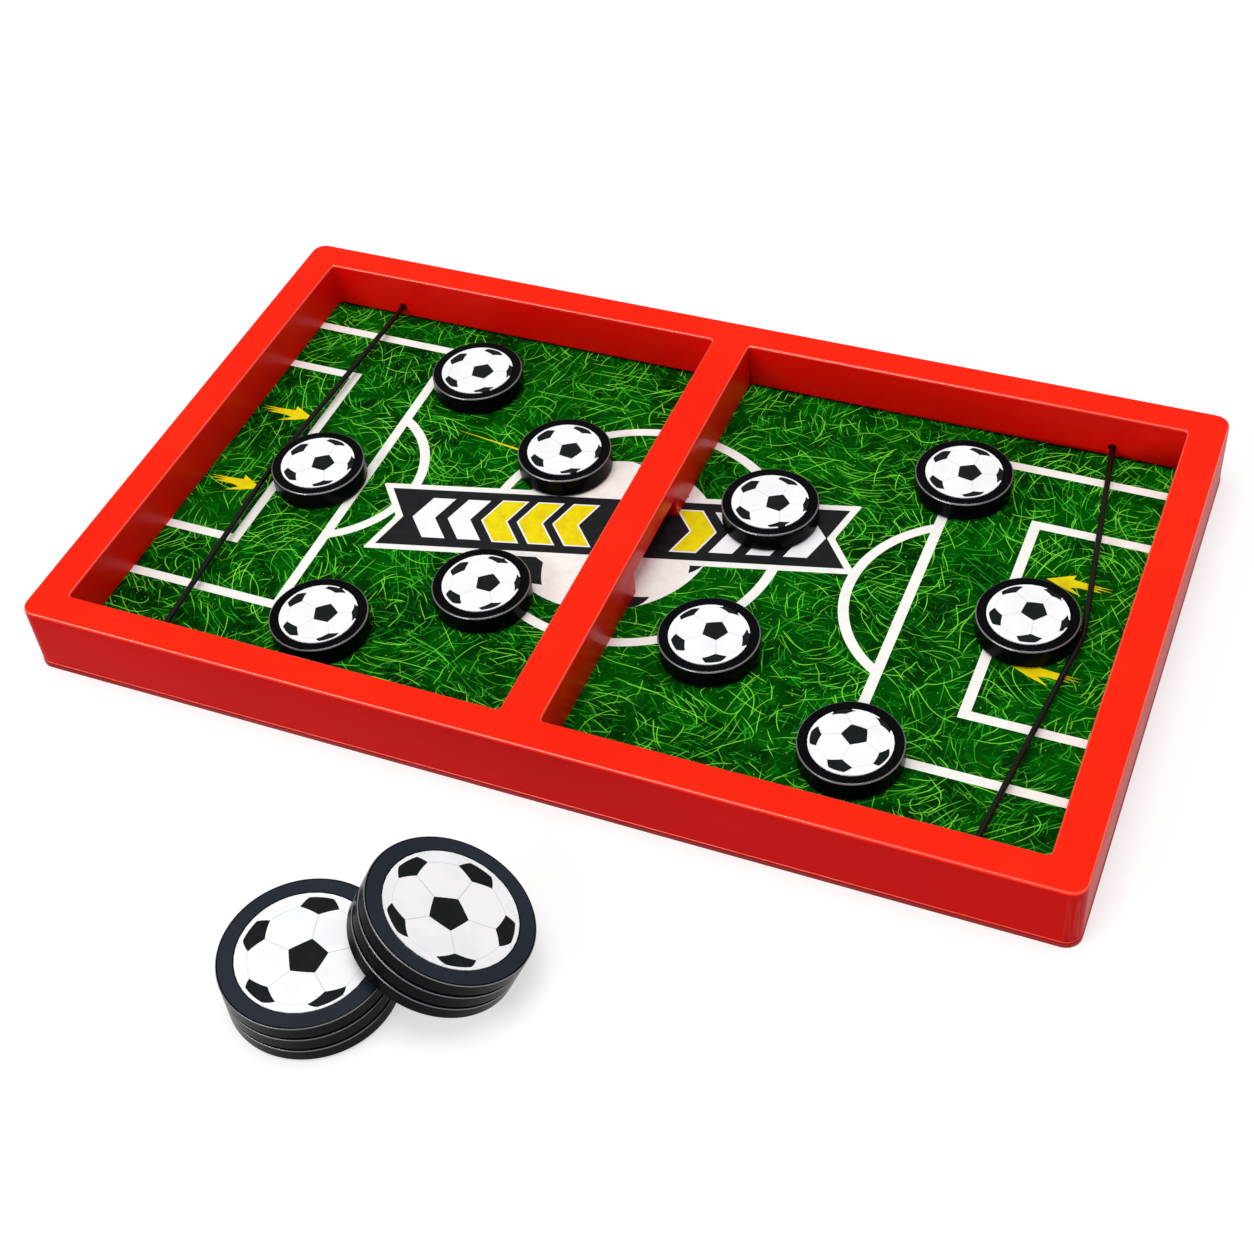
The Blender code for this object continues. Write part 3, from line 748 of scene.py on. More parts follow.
@dataclass
class Board:
    """The moulded board: the frame, the base panel, the deck and the screws."""

    palette: Palette
    frame: dict
    half: Pair = (175 * MM, 104.3 * MM)
    outermost: float = 0.97
    upright: float = 0.2
    rounded: float = 0.95
    sharpest: float = 38
    screw_row: float = 98 * MM
    screw_columns: tuple[float, ...] = (-167.7 * MM, -55 * MM, 55 * MM, 167.7 * MM)
    screw_bottom: float = 0.2 * MM
    screw_length: float = 14 * MM
    screw_steps: int = 24
    tip: float = 1.5 * MM
    head_radius: float = 2.7 * MM
    head_height: float = 1.4 * MM
    head_rounding: tuple = ((0.0, 0.5 * MM), (0.25 * MM, 0.12 * MM), (0.6 * MM, 0.0))
    shank_radius: float = 0.95 * MM
    thread_radius: float = 1.3 * MM
    thread_pitch: float = 1.1 * MM
    cross_length: float = 3.1 * MM
    cross_width: float = 0.65 * MM
    cross_depth: float = 0.8 * MM

    def build(self) -> None:
        """Dress every piece of the board."""
        # The edge finish is a painted highlight; the walls', sides' and base panel's reds hold painted
        # shade.
        red, edge, walls = self.palette.red, self.palette.edge_red_painted_highlight, self.palette.wall_red_glossy_painted_shade
        reds = red, edge, walls, self.palette.side_red_painted_shade
        self.smooth_copy("playing_frame", "moulded_frame", Slot.FRAME, *reds)
        self.smooth_copy("base_panel", "ribbed_base", Slot.BASE, self.palette.base, edge)
        for node, finish in (("play_deck", self.palette.fibre), ("pitch_sheet", self.palette.lawn)):
            mesh = self.frame["nodes"][node].data
            mesh.materials.clear()
            mesh.materials.append(finish)
            log.info("%s keeps its shape", node)
        places = [(x, y) for y in (-self.screw_row, self.screw_row) for x in self.screw_columns]
        for number, place in enumerate(places, 1):
            self.screw(number, place)

    def smooth_copy(self, node: str, name: str, slot: Slot, *finishes: Material) -> None:
        """Stand a smoothly shaded copy of a CAD node in its place.

        Args:
            node: The CAD node.
            name: The new piece's name.
            slot: Its material slot.
            finishes: Its material, the edges' painted highlight, the walls' and sides' painted shade.
        """
        builder = bmesh.new()
        builder.from_mesh(self.frame["nodes"][node].data)
        bmesh.ops.remove_doubles(builder, verts=builder.verts, dist=MERGE)
        paint_edge_highlights(builder, self.rounded)
        if len(finishes) > 2:
            self.colour_sides(builder)
        mesh = finished_mesh(builder, name, sharp=self.sharpest)
        even_shading(new_piece(mesh, BOARD, slot, *finishes, node=node))

    def colour_sides(self, builder: Builder) -> None:
        """Give the inner walls the third finish and the outer sides the fourth, both reds holding
        painted shade.

        Args:
            builder: The frame.
        """
        for face in builder.faces:
            reach = max(abs(part) / half for part, half in zip(face.calc_center_median(), self.half))
            if abs(face.normal.z) < self.upright:
                face.material_index = 3 if reach > self.outermost else 2

    def screw_profile(self) -> list[Pair]:
        """The screw's outline as (radius, height) points, from its tip to its head."""
        shank, head, height = self.shank_radius, self.head_radius, self.screw_length - self.tip
        points = [(0.0, self.screw_length), (shank, height)]
        while height - self.thread_pitch > self.head_height:
            points.append((self.thread_radius, height - self.thread_pitch / 2))
            height -= self.thread_pitch
            points.append((shank, height))
        points += [(shank, self.head_height), (head, self.head_height)]
        return points + [(head - cut, rise) for cut, rise in self.head_rounding] + [(0.0, 0.0)]

    def screw(self, number: int, place: Pair) -> None:
        """Make one base screw with a cross recess in its head.

        Args:
            number: The screw's number.
            place: Its middle.
        """
        move = Matrix.Translation((*place, self.screw_bottom))
        builder = turned(self.screw_profile(), self.screw_steps)
        mesh = finished_mesh(builder, f"zinc_screw_{number}", move, 40)
        node = f"base_screw_{number}"
        thing = new_piece(mesh, None, Slot.SCREW, self.palette.zinc, node=node)
        cutter = put_in_scene("cross_cutter", self.cross(move))
        step = thing.modifiers.new("cross", "BOOLEAN")
        step.solver = "EXACT"
        step.object = cutter
        graph = bpy.context.evaluated_depsgraph_get()
        thing.data = bpy.data.meshes.new_from_object(thing.evaluated_get(graph))
        thing.modifiers.clear()
        bpy.data.objects.remove(cutter, do_unlink=True)
        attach(thing, BOARD)

    def cross(self, move: Matrix) -> Mesh:
        """The cross that is cut into a screw's head.

        Args:
            move: The screw's place.

        Returns:
            The cross as a mesh.
        """
        half = self.cross_width / 2
        columns = (-self.cross_length / 2, -half, half, self.cross_length / 2)
        builder = bmesh.new()
        bmesh.ops.create_grid(builder, x_segments=3, y_segments=3, size=1)
        for vertex in builder.verts:
            column, row = (round((part + 1) * 1.5) for part in vertex.co.xy)
            vertex.co = (columns[column], columns[row], -self.cross_depth)
        corners = [f for f in builder.faces if min(map(abs, f.calc_center_median().xy)) > half]
        bmesh.ops.delete(builder, geom=corners, context="FACES")
        thicken(builder, 2 * self.cross_depth)
        return finished_mesh(builder, "cross", move)


@dataclass
class FootballPrint:
    """The panels of a round ball, seen from above and laid flat."""

    radius: float
    thickness: float
    panel_cut: float = 30.5
    view: float = 8.5
    share: float = 0.965
    seam: float = 0.009
    rim_cuts: int = 3
    panel_cuts: int = 3
    black: int = 1
    grey: int = 2

    def build(self, tilt: float, lean: float, spin: float) -> Builder:
        """Make the printed disc, with its underside at height 0.

        Args:
            tilt: How far the middle panel leans from the middle, in degrees.
            lean: Which way it leans, in degrees from +X.
            spin: How far the ball is turned, in degrees.

        Returns:
            The disc as a bmesh with its three finishes by index.
        """
        builder = self.ball()
        pose = Matrix.Rotation(math.radians(tilt), 4, heading(lean + 90))
        pose @= Matrix.Rotation(math.radians(spin), 4, "Z")
        bmesh.ops.transform(builder, matrix=pose, verts=builder.verts)
        horizon = 1 / self.view
        cut_off(builder, (0, 0, horizon), UP, clear_inner=True)
        edge = self.share * (self.view - horizon) / math.sqrt(1 - horizon**2)
        for vertex in builder.verts:
            vertex.co *= edge / (self.view - vertex.co.z)
            vertex.co.z = 0
        bmesh.ops.subdivide_edges(builder, edges=open_edges(builder), cuts=self.rim_cuts)
        rim = open_edges(builder)
        for vertex in {v for e in rim for v in e.verts}:
            vertex.co = vertex.co.normalized()
        grow = Matrix.LocRotScale(UP * self.thickness, None, (self.radius, self.radius, 1))
        bmesh.ops.transform(builder, matrix=grow, verts=builder.verts)
        foot = only(bmesh.ops.extrude_edge_only(builder, edges=rim)["geom"], Vertex)
        bmesh.ops.translate(builder, vec=-UP * self.thickness, verts=foot)
        bmesh.ops.contextual_create(builder, geom=open_edges(builder))
        return builder

    def ball(self) -> Builder:
        """A ball of twelve black and twenty white panels, the first black one on top."""
        builder = bmesh.new()
        bmesh.ops.create_icosphere(builder, subdivisions=1, radius=1)
        corners = list(builder.verts)
        bevel(builder, corners, self.panel_cut, 1, affect="VERTICES", offset_type="PERCENT")
        blacks = [f for f in builder.faces if len(f.verts) == 5]
        whites = [f for f in builder.faces if len(f.verts) != 5]
        for face in blacks:
            face.material_index = self.black
        seams = bmesh.ops.inset_individual(
            builder, faces=whites, thickness=self.seam, use_even_offset=True
        )["faces"]
        for face in seams:
            if not any(other in blacks for edge in face.edges for other in edge.link_faces):
                face.material_index = self.grey
        bmesh.ops.subdivide_edges(builder, edges=list(builder.edges), cuts=self.panel_cuts)
        for vertex in builder.verts:
            vertex.co = vertex.co.normalized()
        return builder


@dataclass
class Disc:
    """A turned black puck or loose disc with a football label set in its top."""

    palette: Palette
    words: tuple[str, str, str, str]
    radius: float
    thickness: float
    top: Material
    lip: Pair = (0.78 * MM, 0.12 * MM)
    shoulder: Pair = (0.32 * MM, 0.48 * MM)
    foot: float = 0.6 * MM
    label_share: float = 0.79
    label_thickness: float = 0.4 * MM
    clearance: float = 0.3 * MM
    softening: float = 0.08 * MM
    sharpest: float = 12.0
    steps: int = 96
    view: float = 8.5
    rim_share: float = 1.3
    rounded: float = 0.93
    level: float = 0.999

    def profile(self) -> list[Pair]:
        """The outline from the middle of the top to the middle of the underside."""
        edge, top = self.radius, self.thickness
        recess = edge * self.label_share + self.clearance
        floor = top - self.label_thickness - self.clearance
        points = [(0.0, floor), (recess, floor), (recess, top), (edge - self.lip[0], top)]
        points += [(edge - self.shoulder[0], top - self.lip[1]), (edge, top - self.shoulder[1])]
        return points + [(edge, self.foot), (edge - self.foot, 0.0), (0.0, 0.0)]

    def body(self) -> Builder:
        """The black part, with softened edges, and its finishes by index: black, painted highlight, top.
        """
        builder = turned(self.profile(), self.steps)
        bent = [e for e in builder.edges if e.calc_face_angle(0) > math.radians(self.sharpest)]
        corners = [e for e in bent if abs(e.verts[0].co.z - e.verts[1].co.z) < MERGE]
        bevel(builder, corners, self.softening, 3, clamp_overlap=True)
        paint_edge_highlights(builder, self.rounded, self.radius - self.rim_share * self.lip[0])
        # Flat tops take the third finish; on the loose discs it is black with a painted sky reflection.
        for face in builder.faces:
            if face.normal.z > self.level:
                face.material_index = 2
        return builder

    def build(self, ending: str, place: Matrix, ball: Triple) -> None:
        """Make the disc and its label on their body.

        Args:
            ending: What the names of the two pieces and of their nodes end in.
            place: Where the disc goes.
            ball: The printed ball's tilt, lean and spin in degrees.
        """
        finishes = self.palette
        name, badge, node, badge_node = (f"{word}_{ending}" for word in self.words)
        mesh = finished_mesh(self.body(), name, place, 50)
        blacks = finishes.black, finishes.edge_black_highlight, self.top
        even_shading(new_piece(mesh, node, Slot.PUCK, *blacks, node=node))
        pattern = FootballPrint(self.radius * self.label_share, self.label_thickness, view=self.view)
        rise = Matrix.Translation(UP * (self.thickness - self.label_thickness))
        mesh = finished_mesh(pattern.build(*ball), badge, place @ rise)
        inks = finishes.label_white, finishes.label_black, finishes.seam
        new_piece(mesh, node, Slot.LABEL, *inks, node=badge_node)


@dataclass
class Pucks:
    """The ten pucks on the board, each with its own turn of the printed ball."""

    palette: Palette
    radius: float = 16.5 * MM
    thickness: float = 7.5 * MM
    left: tuple = (
        ((-88, 62.1), (9.0, -0.6, 15.1)),
        ((-39.9, 31.6), (9.6, 1.8, 11.7)),
        ((-120.9, -0.9), (8.1, 13.9, 15.1)),
        ((-40.1, -37.3), (9.5, 18.2, 17.7)),
        ((-85.3, -66.8), (9.7, 24.9, 20.4)),
    )
    right: tuple = (
        ((95, 61.9), (7.5, 2.3, 9.0)),
        ((37.4, 28.2), (11.0, 4.0, 10.5)),
        ((131.9, 3.8), (10.7, 53.7, 64.6)),
        ((39.3, -35.7), (10.9, 60.2, 6.0)),
        ((95.3, -63.9), (13.6, 82.1, 49.8)),
    )

    def build(self) -> None:
        """Make every puck."""
        words = ("round_puck", "football_label", "puck", "puck_label")
        maker = Disc(self.palette, words, self.radius, self.thickness, self.palette.black)
        for side, pucks in ((Side.LEFT, self.left), (Side.RIGHT, self.right)):
            for number, ((x, y), ball) in enumerate(pucks, 1):
                place = Matrix.Translation((x * MM, y * MM, PUCK_BOTTOM))
                maker.build(f"{side.value}_{number}", place, ball)


@dataclass
class LooseDiscs:
    """The two stacks of loose discs: three lie flat, and three lean on them."""

    palette: Palette
    radius: float = 25.5 * MM
    thickness: float = 5.3 * MM
    gap: float = 0.3 * MM
    middle: Pair = (-25.5 * MM, -186 * MM)
    lean: float = 27.5
    heading: float = 29
    flat_balls: tuple = ((8, 120, 40), (7, 200, 120), (6.1, -46.6, 32.0))
    leaning_balls: tuple = ((7, 200, 20), (7, 300, 50), (5.3, -98.9, 14.2))

    def leaning_place(self) -> Matrix:
        """The leaning stack's place: its low edge on the floor, its underside on the flat one."""
        lean = math.radians(self.lean)
        stack = len(self.flat_balls) * (self.thickness + self.gap) - self.gap
        prop = stack + self.gap / math.cos(lean)
        reach = prop / math.tan(lean) + self.radius * (1 - math.cos(lean))
        foot = Vector((*self.middle, self.radius * math.sin(lean))) + heading(self.heading) * reach
        return Matrix.Translation(foot) @ Matrix.Rotation(lean, 4, heading(self.heading + 90))

    def build(self) -> None:
        """Make both stacks."""
        words = ("round_disc", "football_badge", "loose_disc", "disc_label")
        maker = Disc(
            self.palette, words, self.radius, self.thickness, self.palette.top_black_sky_reflection,
            lip=(0.6 * MM, 0.1 * MM), shoulder=(0.22 * MM, 0.34 * MM), foot=1.1 * MM, view=60,
        )
        for stack, place, balls in (
            (Stack.FLAT, Matrix.Translation((*self.middle, 0)), self.flat_balls),
            (Stack.LEANING, self.leaning_place(), self.leaning_balls),
        ):
            for number, ball in enumerate(balls):
                rise = Matrix.Translation(UP * (self.thickness + self.gap) * number)
                maker.build(f"{stack.value}_{number + 1}", place @ rise, ball)


@dataclass
class Sling:
    """One elastic cord in two halves, each bent between the board and its puck."""

    side: Side
    column: float
    puck: Pair
    finish: Material
    radius: float = 1 * MM
    puck_radius: float = 16.5 * MM
    gap: float = 0.3 * MM
    hole_row: float = 93.85 * MM
    wall_row: float = 94.85 * MM
    knot_row: float = 97.35 * MM
    spacing: float = 1.6 * MM
    sides: int = 16
    knot_scale: float = 0.5 * MM
    knot_strand: float = 0.55 * MM
    knot_points: int = 72
    knot_depth: float = 1.25
    knot_closing: float = 0.2 * MM
    steepest: float = 0.2

    def build(self) -> None:
        """Make both halves."""
        for name, row in (("back", 1), ("front", -1)):
            hole, touch, points = self.route(row)
            builder = bmesh.new()
            self.sweep(builder, [points[0], *points, points[-1]], self.radius, False)
            loop = self.knot(row)
            self.sweep(builder, [loop[-1], *loop, *loop[:2]], self.knot_strand, True)
            mesh = finished_mesh(builder, f"elastic_{self.side.value}_{name}", sharp=60)
            node = f"sling_cord_{self.side.value}"
            half = new_piece(mesh, None, Slot.CORD, self.finish, node=node)
            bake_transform(half)
            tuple(hole)
            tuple(touch)

    def straight(self, row: float) -> Vector:
        """The point of the undrawn cord at a row."""
        return Vector((self.column, row, CORD_LEVEL))

    def bend(self, angle: float) -> Vector:
        """The point of the bend round the puck at an angle."""
        wrap = self.puck_radius + self.radius + self.gap
        return Vector((*self.puck, CORD_LEVEL)) + wrap * heading(math.degrees(angle))

    def route(self, row: int) -> tuple[Vector, Vector, list[Vector]]:
        """The middle line of one half.

        Args:
            row: 1 for the back half, and -1 for the front half.

        Returns:
            Its hole, the point where it meets the puck, and its points from the knot on.
        """
        hole = self.straight(row * self.hole_row)
        wrap = self.puck_radius + self.radius + self.gap
        across = hole - Vector((*self.puck, CORD_LEVEL))
        tangent = math.acos(wrap / across.length)
        start = math.atan2(across.y, across.x) - self.side.outward * row * tangent
        middle = math.pi if self.side is Side.LEFT else 0.0
        if self.side is Side.LEFT and row < 0:
            start += FULL_TURN
        touch = self.bend(start)
        points = [self.straight(row * self.knot_row), self.straight(row * self.wall_row)]
        count = round((touch - hole).length / self.spacing)
        points += [hole.lerp(touch, step / count) for step in range(count)]
        steps = max(2, math.ceil(abs(middle - start) * wrap / (self.spacing / 2)))
        points += [self.bend(start + (middle - start) * step / steps) for step in range(steps + 1)]
        return hole, touch, points

    def knot(self, row: int) -> list[Vector]:
        """The closed line of the tight knot behind the rail's inner wall.

        Args:
            row: 1 for the back knot, and -1 for the front one.

        Returns:
            The line's points.
        """
        points = []
        for step in range(self.knot_points):
            turn = FULL_TURN * step / self.knot_points
            x = math.sin(turn) + 2 * math.sin(2 * turn)
            z = math.cos(turn) - 2 * math.cos(2 * turn)
            loop = Vector((x, -self.knot_depth * math.sin(3 * turn), z))
            points.append(self.straight(row * self.knot_row) + self.knot_scale * loop)
        return points

    def sweep(self, builder: Builder, line: list[Vector], radius: float, closed: bool) -> None:
        """Sweep a round section along a line, with a UV map of turns and millimetres.

        Args:
            builder: The bmesh that it is added to.
            line: The line, with one more point at each end for the direction there.
            radius: The section's radius.
            closed: Whether the line runs back into its start.
        """
        layer = builder.loops.layers.uv.get("weave") or builder.loops.layers.uv.new("weave")
        places = [self.section(*three) for three in zip(line, line[1:], line[2:])]
        circle = {"segments": self.sides, "radius": radius, "matrix": places[0]}
        first = ring = bmesh.ops.create_circle(builder, **circle)["verts"]
        run = 0.0
        for previous, place in zip(places, places[1:]):
            near = dict.fromkeys(edge for vertex in ring for edge in vertex.link_edges)
            edges = [edge for edge in near if all(vertex in ring for vertex in edge.verts)]
            grown = bmesh.ops.extrude_edge_only(builder, edges=edges)["geom"]
            ring = only(grown, Vertex)
            end = run + (place.translation - previous.translation).length / MM
            for face in only(grown, Face):
                spots = [previous.inverted() @ loop.vert.co for loop in face.loops]
                turns = [math.atan2(spot.y, spot.x) / FULL_TURN for spot in spots]
                if max(turns) - min(turns) > 0.5:
                    turns = [turn + 1 if turn < 0 else turn for turn in turns]
                for loop, turn in zip(face.loops, turns):
                    loop[layer].uv = (turn, end if loop.vert in ring else run)
            bmesh.ops.transform(builder, matrix=place @ previous.inverted(), verts=ring)
            run = end
        if closed:
            bmesh.ops.remove_doubles(builder, verts=first + ring, dist=self.knot_closing)
        else:
            bmesh.ops.contextual_create(builder, geom=first)
            bmesh.ops.contextual_create(builder, geom=ring)

    def section(self, before: Vector, here: Vector, after: Vector) -> Matrix:
        """The place of a section that faces along a line.

        Args:
            before: The line's point before it.
            here: Its own point.
            after: The next point.

        Returns:
            The section's place.
        """
        ahead = (after - before).normalized()
        sideways = ahead.cross(UP)
        if sideways.length < self.steepest:
            sideways = ahead.cross(Vector((1, 0, 0)))
        sideways.normalize()
        turn = Matrix((sideways, sideways.cross(ahead), -ahead)).transposed().to_4x4()
        return Matrix.Translation(here) @ turn


@dataclass
class PitchMarkings:
    """The white lines, the printed ball, the pennant and the arrows on the lawn."""

    palette: Palette
    line: float = 3.5 * MM
    sheet_end: float = 163.7 * MM
    layer: float = 0.03 * MM
    ink: float = 0.8
    lift: float = 0.01 * MM
    corner: float = 0.9 * MM
    circle: tuple = ((-5.0 * MM, 7.5 * MM), 51.2 * MM)
    ball: tuple = ((-12.2 * MM, 4.6 * MM), 36.4 * MM)
    ball_pose: Triple = (9, 320, 6)
    ball_cut: float = 31.5
    ball_view: float = 60
    ball_rim_cuts: int = 6
    circle_steps: int = 160
    arc_steps: int = 96
    left: tuple = ((-106, 77.5, -61.5), (-135.5, 53.8, -37.4), (-122.8, 5.5, 35.8))
    right: tuple = ((92.3, 78.2, -60.2), (122.7, 51.8, -36.2), (111.7, 6.4, 39.5))
    pennant_middle: Pair = (-12.7 * MM, 7.5 * MM)
    pennant_turn: float = 13.4
    pennant_half: Pair = (84 * MM, 16.3 * MM)
    pennant_notch: float = 8 * MM
    pennant_border: float = 2.4 * MM
    chevron_reach: float = 5.5 * MM
    chevron_arm: float = 8 * MM
    chevron_half: float = 9.8 * MM
    chevron_trim: float = 0.55 * MM
    white_chevrons: tuple = (-44, -56.5, 34.5, 47, 59.5)
    yellow_chevrons: tuple = (-6.5, -19, -31.5, 22)
    arrows: tuple = ((-139.6, 27.4, 1), (-139.5, -11.9, 1), (132.2, 28.4, -1), (131.6, -12.5, -1))
    arrow: tuple = (
        (0, 0), (-8.9, 4.4), (-8.3, 2.2), (-13.5, 1.7), (-21.6, 1.2), (-14.5, 0.9), (-21.8, -0.1),
        (-14.8, 0.1), (-18.4, -1.2), (-11, -1.1), (-8.2, -1.7), (-12.4, -4.6), (-6.5, -2.8),
    )
    streak: tuple = ((-86.6, 37.7), (-59.2, 34.3))
    streak_half: float = 0.45 * MM

    def build(self) -> None:
        """Print every marking, each a thin layer above the last."""
        self.print_boxes(Side.LEFT, *self.left)
        self.print_boxes(Side.RIGHT, *self.right)
        self.lay("centre_circle_line", self.ring(*self.circle, self.circle_steps), 0, self.palette.chalk)
        self.print_ball()
        self.print_pennant()
        self.print_arrows()

    def level(self, layers: float) -> float:
        """The height of the sheet's face plus some layers."""
        return PLAY_FLOOR + self.lift + self.layer * layers

    def lay(self, name: str, builder: Builder, layers: float, finish: Material,
            place: Matrix = STILL) -> None:
        """Give a flat shape its thickness and put it on the sheet.

        Args:
            name: The piece's name.
            builder: The flat shape at height 0.
            layers: How many layers lie below it.
            finish: Its material.
            place: Where it goes on the sheet.
        """
        thicken(builder, self.layer * self.ink)
        mesh = finished_mesh(builder, name, Matrix.Translation(UP * self.level(layers)) @ place)
        new_piece(mesh, BOARD, Slot.PRINT, finish)

    def ring(self, middle: Pair, radius: float, steps: int) -> Builder:
        """A flat ring as wide as a line."""
        half = self.line / 2
        return turned([(radius - half, 0.0), (radius + half, 0.0)], steps, middle)

    def print_boxes(self, side: Side, penalty: Triple, goal: Triple, arc: Triple) -> None:
        """Print one half's two boxes and its arc.

        Args:
            side: The half.
            penalty: The penalty box's far line, back row and front row in millimetres.
            goal: The goal box's.
            arc: The arc's middle column, middle row and radius in millimetres.
        """
        half = self.line / 2
        for name, (inner, back, front) in (("penalty", penalty), ("goal", goal)):
            far = side.outward * (self.sheet_end + 2 * self.line)
            left, right = sorted((inner * MM - side.outward * half, far))
            low, high = front * MM - half, back * MM + half
            builder = bmesh.new()
            flat_face(builder, [(left, low), (right, low), (right, high), (left, high)])
            inside = list(builder.faces)
            inset(builder, self.line)
            bmesh.ops.delete(builder, geom=inside, context="FACES_ONLY")
            self.trim(builder, side, side.outward * self.sheet_end)
            self.lay(f"{name}_box_line_{side.value}", builder, 0, self.palette.chalk)
        x, y, radius = (part * MM for part in arc)
        builder = self.ring((x, y), radius, self.arc_steps)
        self.trim(builder, side, penalty[0] * MM - side.outward * half)
        self.lay(f"penalty_arc_line_{side.value}", builder, 0, self.palette.chalk)

    def trim(self, builder: Builder, side: Side, column: float) -> None:
        """Drop what lies further out than a column."""
        cut_off(builder, (column, 0, 0), (side.outward, 0, 0), clear_outer=True)

    def print_ball(self) -> None:
        """Print the large ball behind the pennant."""
        middle, radius = self.ball
        pattern = FootballPrint(
            radius, self.layer * self.ink, self.ball_cut, self.ball_view, 1, rim_cuts=self.ball_rim_cuts
        )
        place = Matrix.Translation((*middle, self.level(1)))
        mesh = finished_mesh(pattern.build(*self.ball_pose), "centre_ball_print", place)
        chalk, black = self.palette.chalk, self.palette.ink_black
        new_piece(mesh, BOARD, Slot.PRINT, chalk, black, chalk)

    def print_pennant(self) -> None:
        """Print the swallow-tailed pennant with its row of chevrons."""
        x, y = self.pennant_half
        inner = x - self.pennant_notch
        outline = [(-x, y), (-inner, 0), (-x, -y), (x, -y), (inner, 0), (x, y)]
        border, field = bmesh.new(), bmesh.new()
        flat_face(border, outline)
        bevel(border, list(border.verts), self.corner, 4, affect="VERTICES", clamp_overlap=True)
        flat_face(field, outline)
        bmesh.ops.delete(field, geom=inset(field, self.pennant_border), context="FACES")
        inks, yellow = self.palette, self.yellow_chevrons
        turn = Matrix.Rotation(math.radians(self.pennant_turn), 4, "Z")
        place = Matrix.Translation((*self.pennant_middle, 0)) @ turn
        for name, shape, layers, finish in (
            ("border", border, 2, inks.chalk),
            ("field", field, 3, inks.ink_black),
            ("chevrons_white", self.chevrons(self.white_chevrons, 0.0), 4, inks.label_white),
            ("chevrons_trim", self.chevrons(yellow, self.chevron_trim), 4, inks.label_white),
            ("chevrons_yellow", self.chevrons(yellow, 0.0), 5, inks.ink_yellow),
        ):
            self.lay(f"pennant_{name}", shape, layers, finish, place)

    def chevrons(self, columns: tuple, grow: float) -> Builder:
        """Flat chevrons that point away from the pennant's middle.

        Args:
            columns: How far each one's tail is from the middle, in millimetres.
            grow: How far their outlines are moved out.

        Returns:
            The flat shape.
        """
        builder = bmesh.new()
        slope = self.chevron_reach / self.chevron_half
        high = self.chevron_half + grow
        shift, lean = grow * math.hypot(1, slope), slope * high
        for column in columns:
            notch = abs(column) * MM + self.chevron_reach - shift
            tip = abs(column) * MM + self.chevron_arm + self.chevron_reach + shift
            upper = [(notch, 0), (notch - lean, high), (tip - lean, high), (tip, 0)]
            corners = upper + [(tip - lean, -high), (notch - lean, -high)]
            flat_face(builder, [(math.copysign(x, column), y) for x, y in corners])
        return builder

    def print_arrows(self) -> None:
        """Print the yellow arrows by the goals and the thin streak near the circle."""
        builder = bmesh.new()
        for tip, row, side in self.arrows:
            flat_face(builder, [((tip + side * x) * MM, (row + y) * MM) for x, y in self.arrow])
        start, end = (Vector(point) * MM for point in self.streak)
        across = (end - start).orthogonal().normalized() * self.streak_half
        flat_face(builder, [start, end + across, end - across])
        self.lay("pitch_arrows", builder, 0.5, self.palette.ink_yellow)


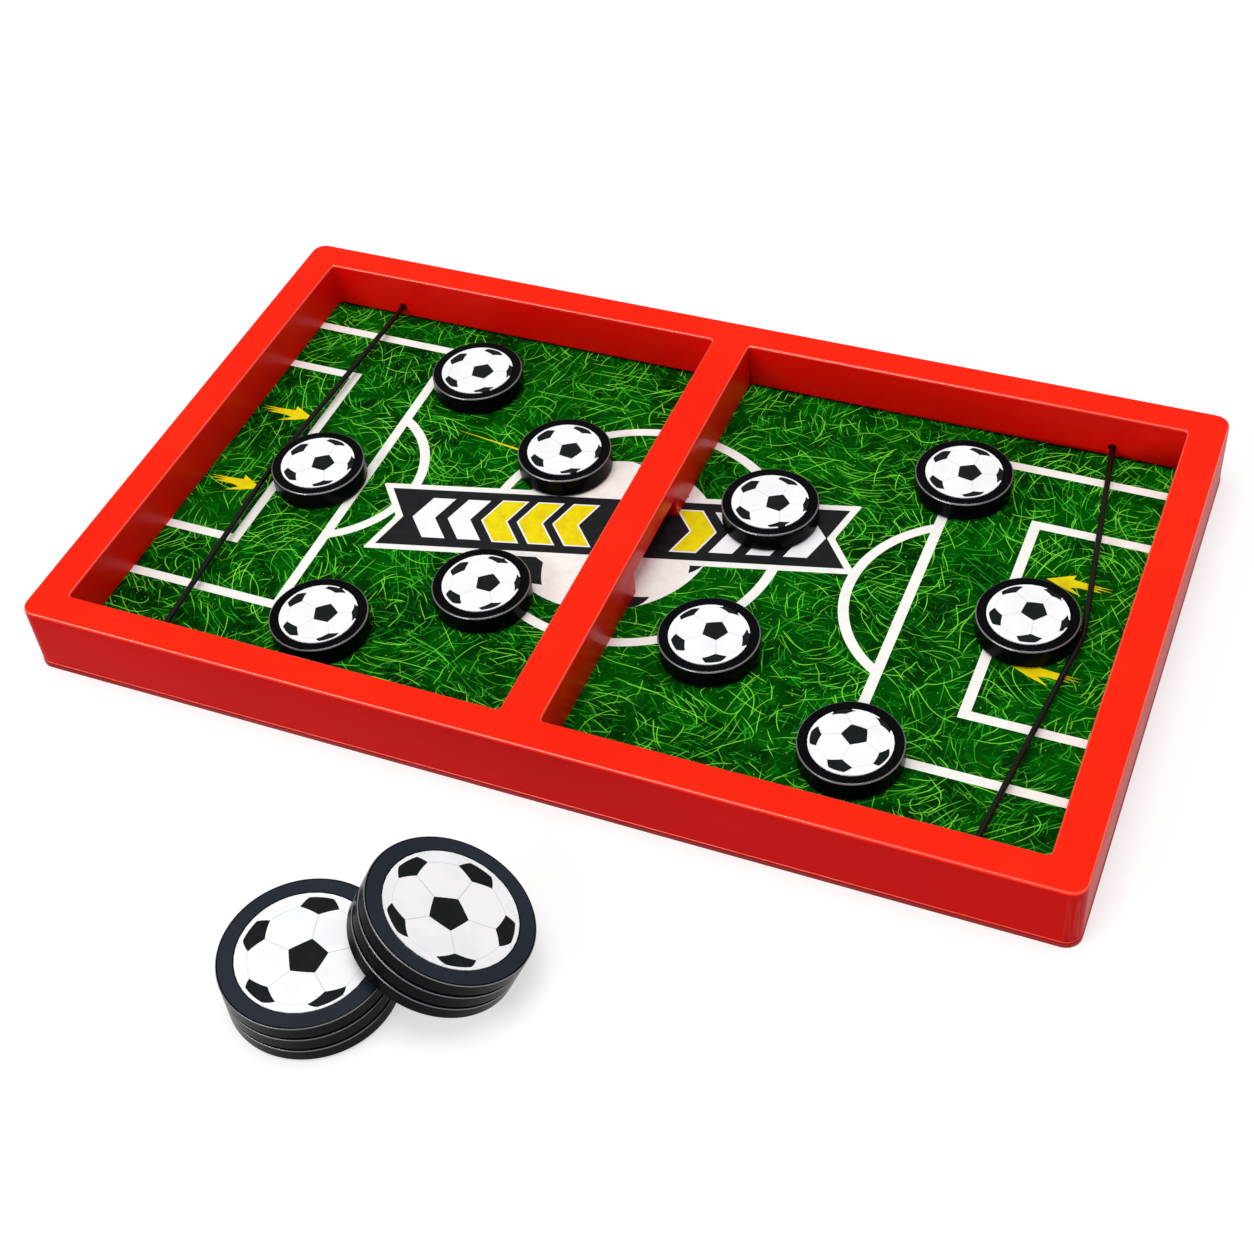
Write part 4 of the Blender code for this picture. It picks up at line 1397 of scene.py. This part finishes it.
@dataclass
class Studio:
    """The pale floor, the soft light and the camera. A lamp has a name, place, size and power."""

    place: Triple = (0.21287, -0.43913, 0.48271)
    turns: Triple = (0.46454, 0.76184, -0.10789)
    lens: float = 58.0
    sensor: float = 36
    nearest: float = 0.01
    floor_half: float = 12.0
    floor_drop: float = 0.05 * MM
    sky_strength: float = 0.41
    floor_glow: float = 0.6
    floor_shade: Shade = (178, 178, 178)
    white: Colour = (1, 1, 1, 1)
    aim: Triple = (0, -0.03, 0)
    lamps: tuple = (
        ("key", (0.0, -0.1, 2.7), (1.6, 1.6), 42.0),
        ("front", (-1.0, -1.6, 1.3), (1.6, 0.35), 15.0),
    )

    def build(self) -> None:
        """Set the stage."""
        self.floor()
        self.camera()
        self.sky()
        self.hang_lamps()

    def floor(self) -> None:
        """Make the floor."""
        builder = bmesh.new()
        drop = Matrix.Translation(-UP * self.floor_drop)
        bmesh.ops.create_grid(builder, x_segments=4, y_segments=4, size=self.floor_half, matrix=drop)
        mesh = bpy.data.meshes.new("studio_floor")
        builder.to_mesh(mesh)
        builder.free()
        paper = Wiring("studio_paper").finish(
            Base_Color=screen(self.floor_shade),
            Roughness=0.9,
            Emission_Color=self.white,
            Emission_Strength=self.floor_glow,
        )
        mesh.materials.append(paper)
        put_in_scene("studio_floor", mesh)

    def camera(self) -> None:
        """Place the camera where the photograph was taken from."""
        data = bpy.data.cameras.new("view")
        data.lens = self.lens
        data.sensor_width = self.sensor
        data.clip_start = self.nearest
        view = put_in_scene("view", data)
        pan, pitch, roll = (Matrix.Rotation(turn, 4, axis) for turn, axis in zip(self.turns, "ZXZ"))
        view.matrix_world = Matrix.Translation(self.place) @ pan @ pitch @ roll
        bpy.context.scene.camera = view

    def sky(self) -> None:
        """Fill the room with even light."""
        world = bpy.data.worlds.new("studio")
        world.use_nodes = True
        back = world.node_tree.nodes["Background"]
        back.inputs["Color"].default_value = self.white
        back.inputs["Strength"].default_value = self.sky_strength
        bpy.context.scene.world = world
        bpy.context.scene.view_settings.view_transform = "Standard"

    def hang_lamps(self) -> None:
        """Hang the soft lamps, each pointed at the board."""
        for name, place, size, power in self.lamps:
            data = bpy.data.lights.new(name, "AREA")
            data.shape = "RECTANGLE"
            data.size, data.size_y = size
            data.energy = power
            lamp = put_in_scene(name, data)
            lamp.location = place
            lamp.rotation_euler = (Vector(self.aim) - lamp.location).to_track_quat("-Z", "Y").to_euler()


def main() -> None:
    """Dress the whole game around its frame."""
    logging.basicConfig(level=logging.INFO, format="%(message)s")
    for thing in list(bpy.data.objects):
        bpy.data.objects.remove(thing, do_unlink=True)
    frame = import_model()
    Studio().build()
    palette = Palette()
    Board(palette, frame).build()
    PitchMarkings(palette).build()
    Sling(Side.LEFT, -134.3 * MM, (-120.9 * MM, -0.9 * MM), palette.elastic).build()
    Sling(Side.RIGHT, 138.6 * MM, (131.9 * MM, 3.8 * MM), palette.elastic).build()
    Pucks(palette).build()
    LooseDiscs(palette).build()


if __name__ == "__main__":
    main()
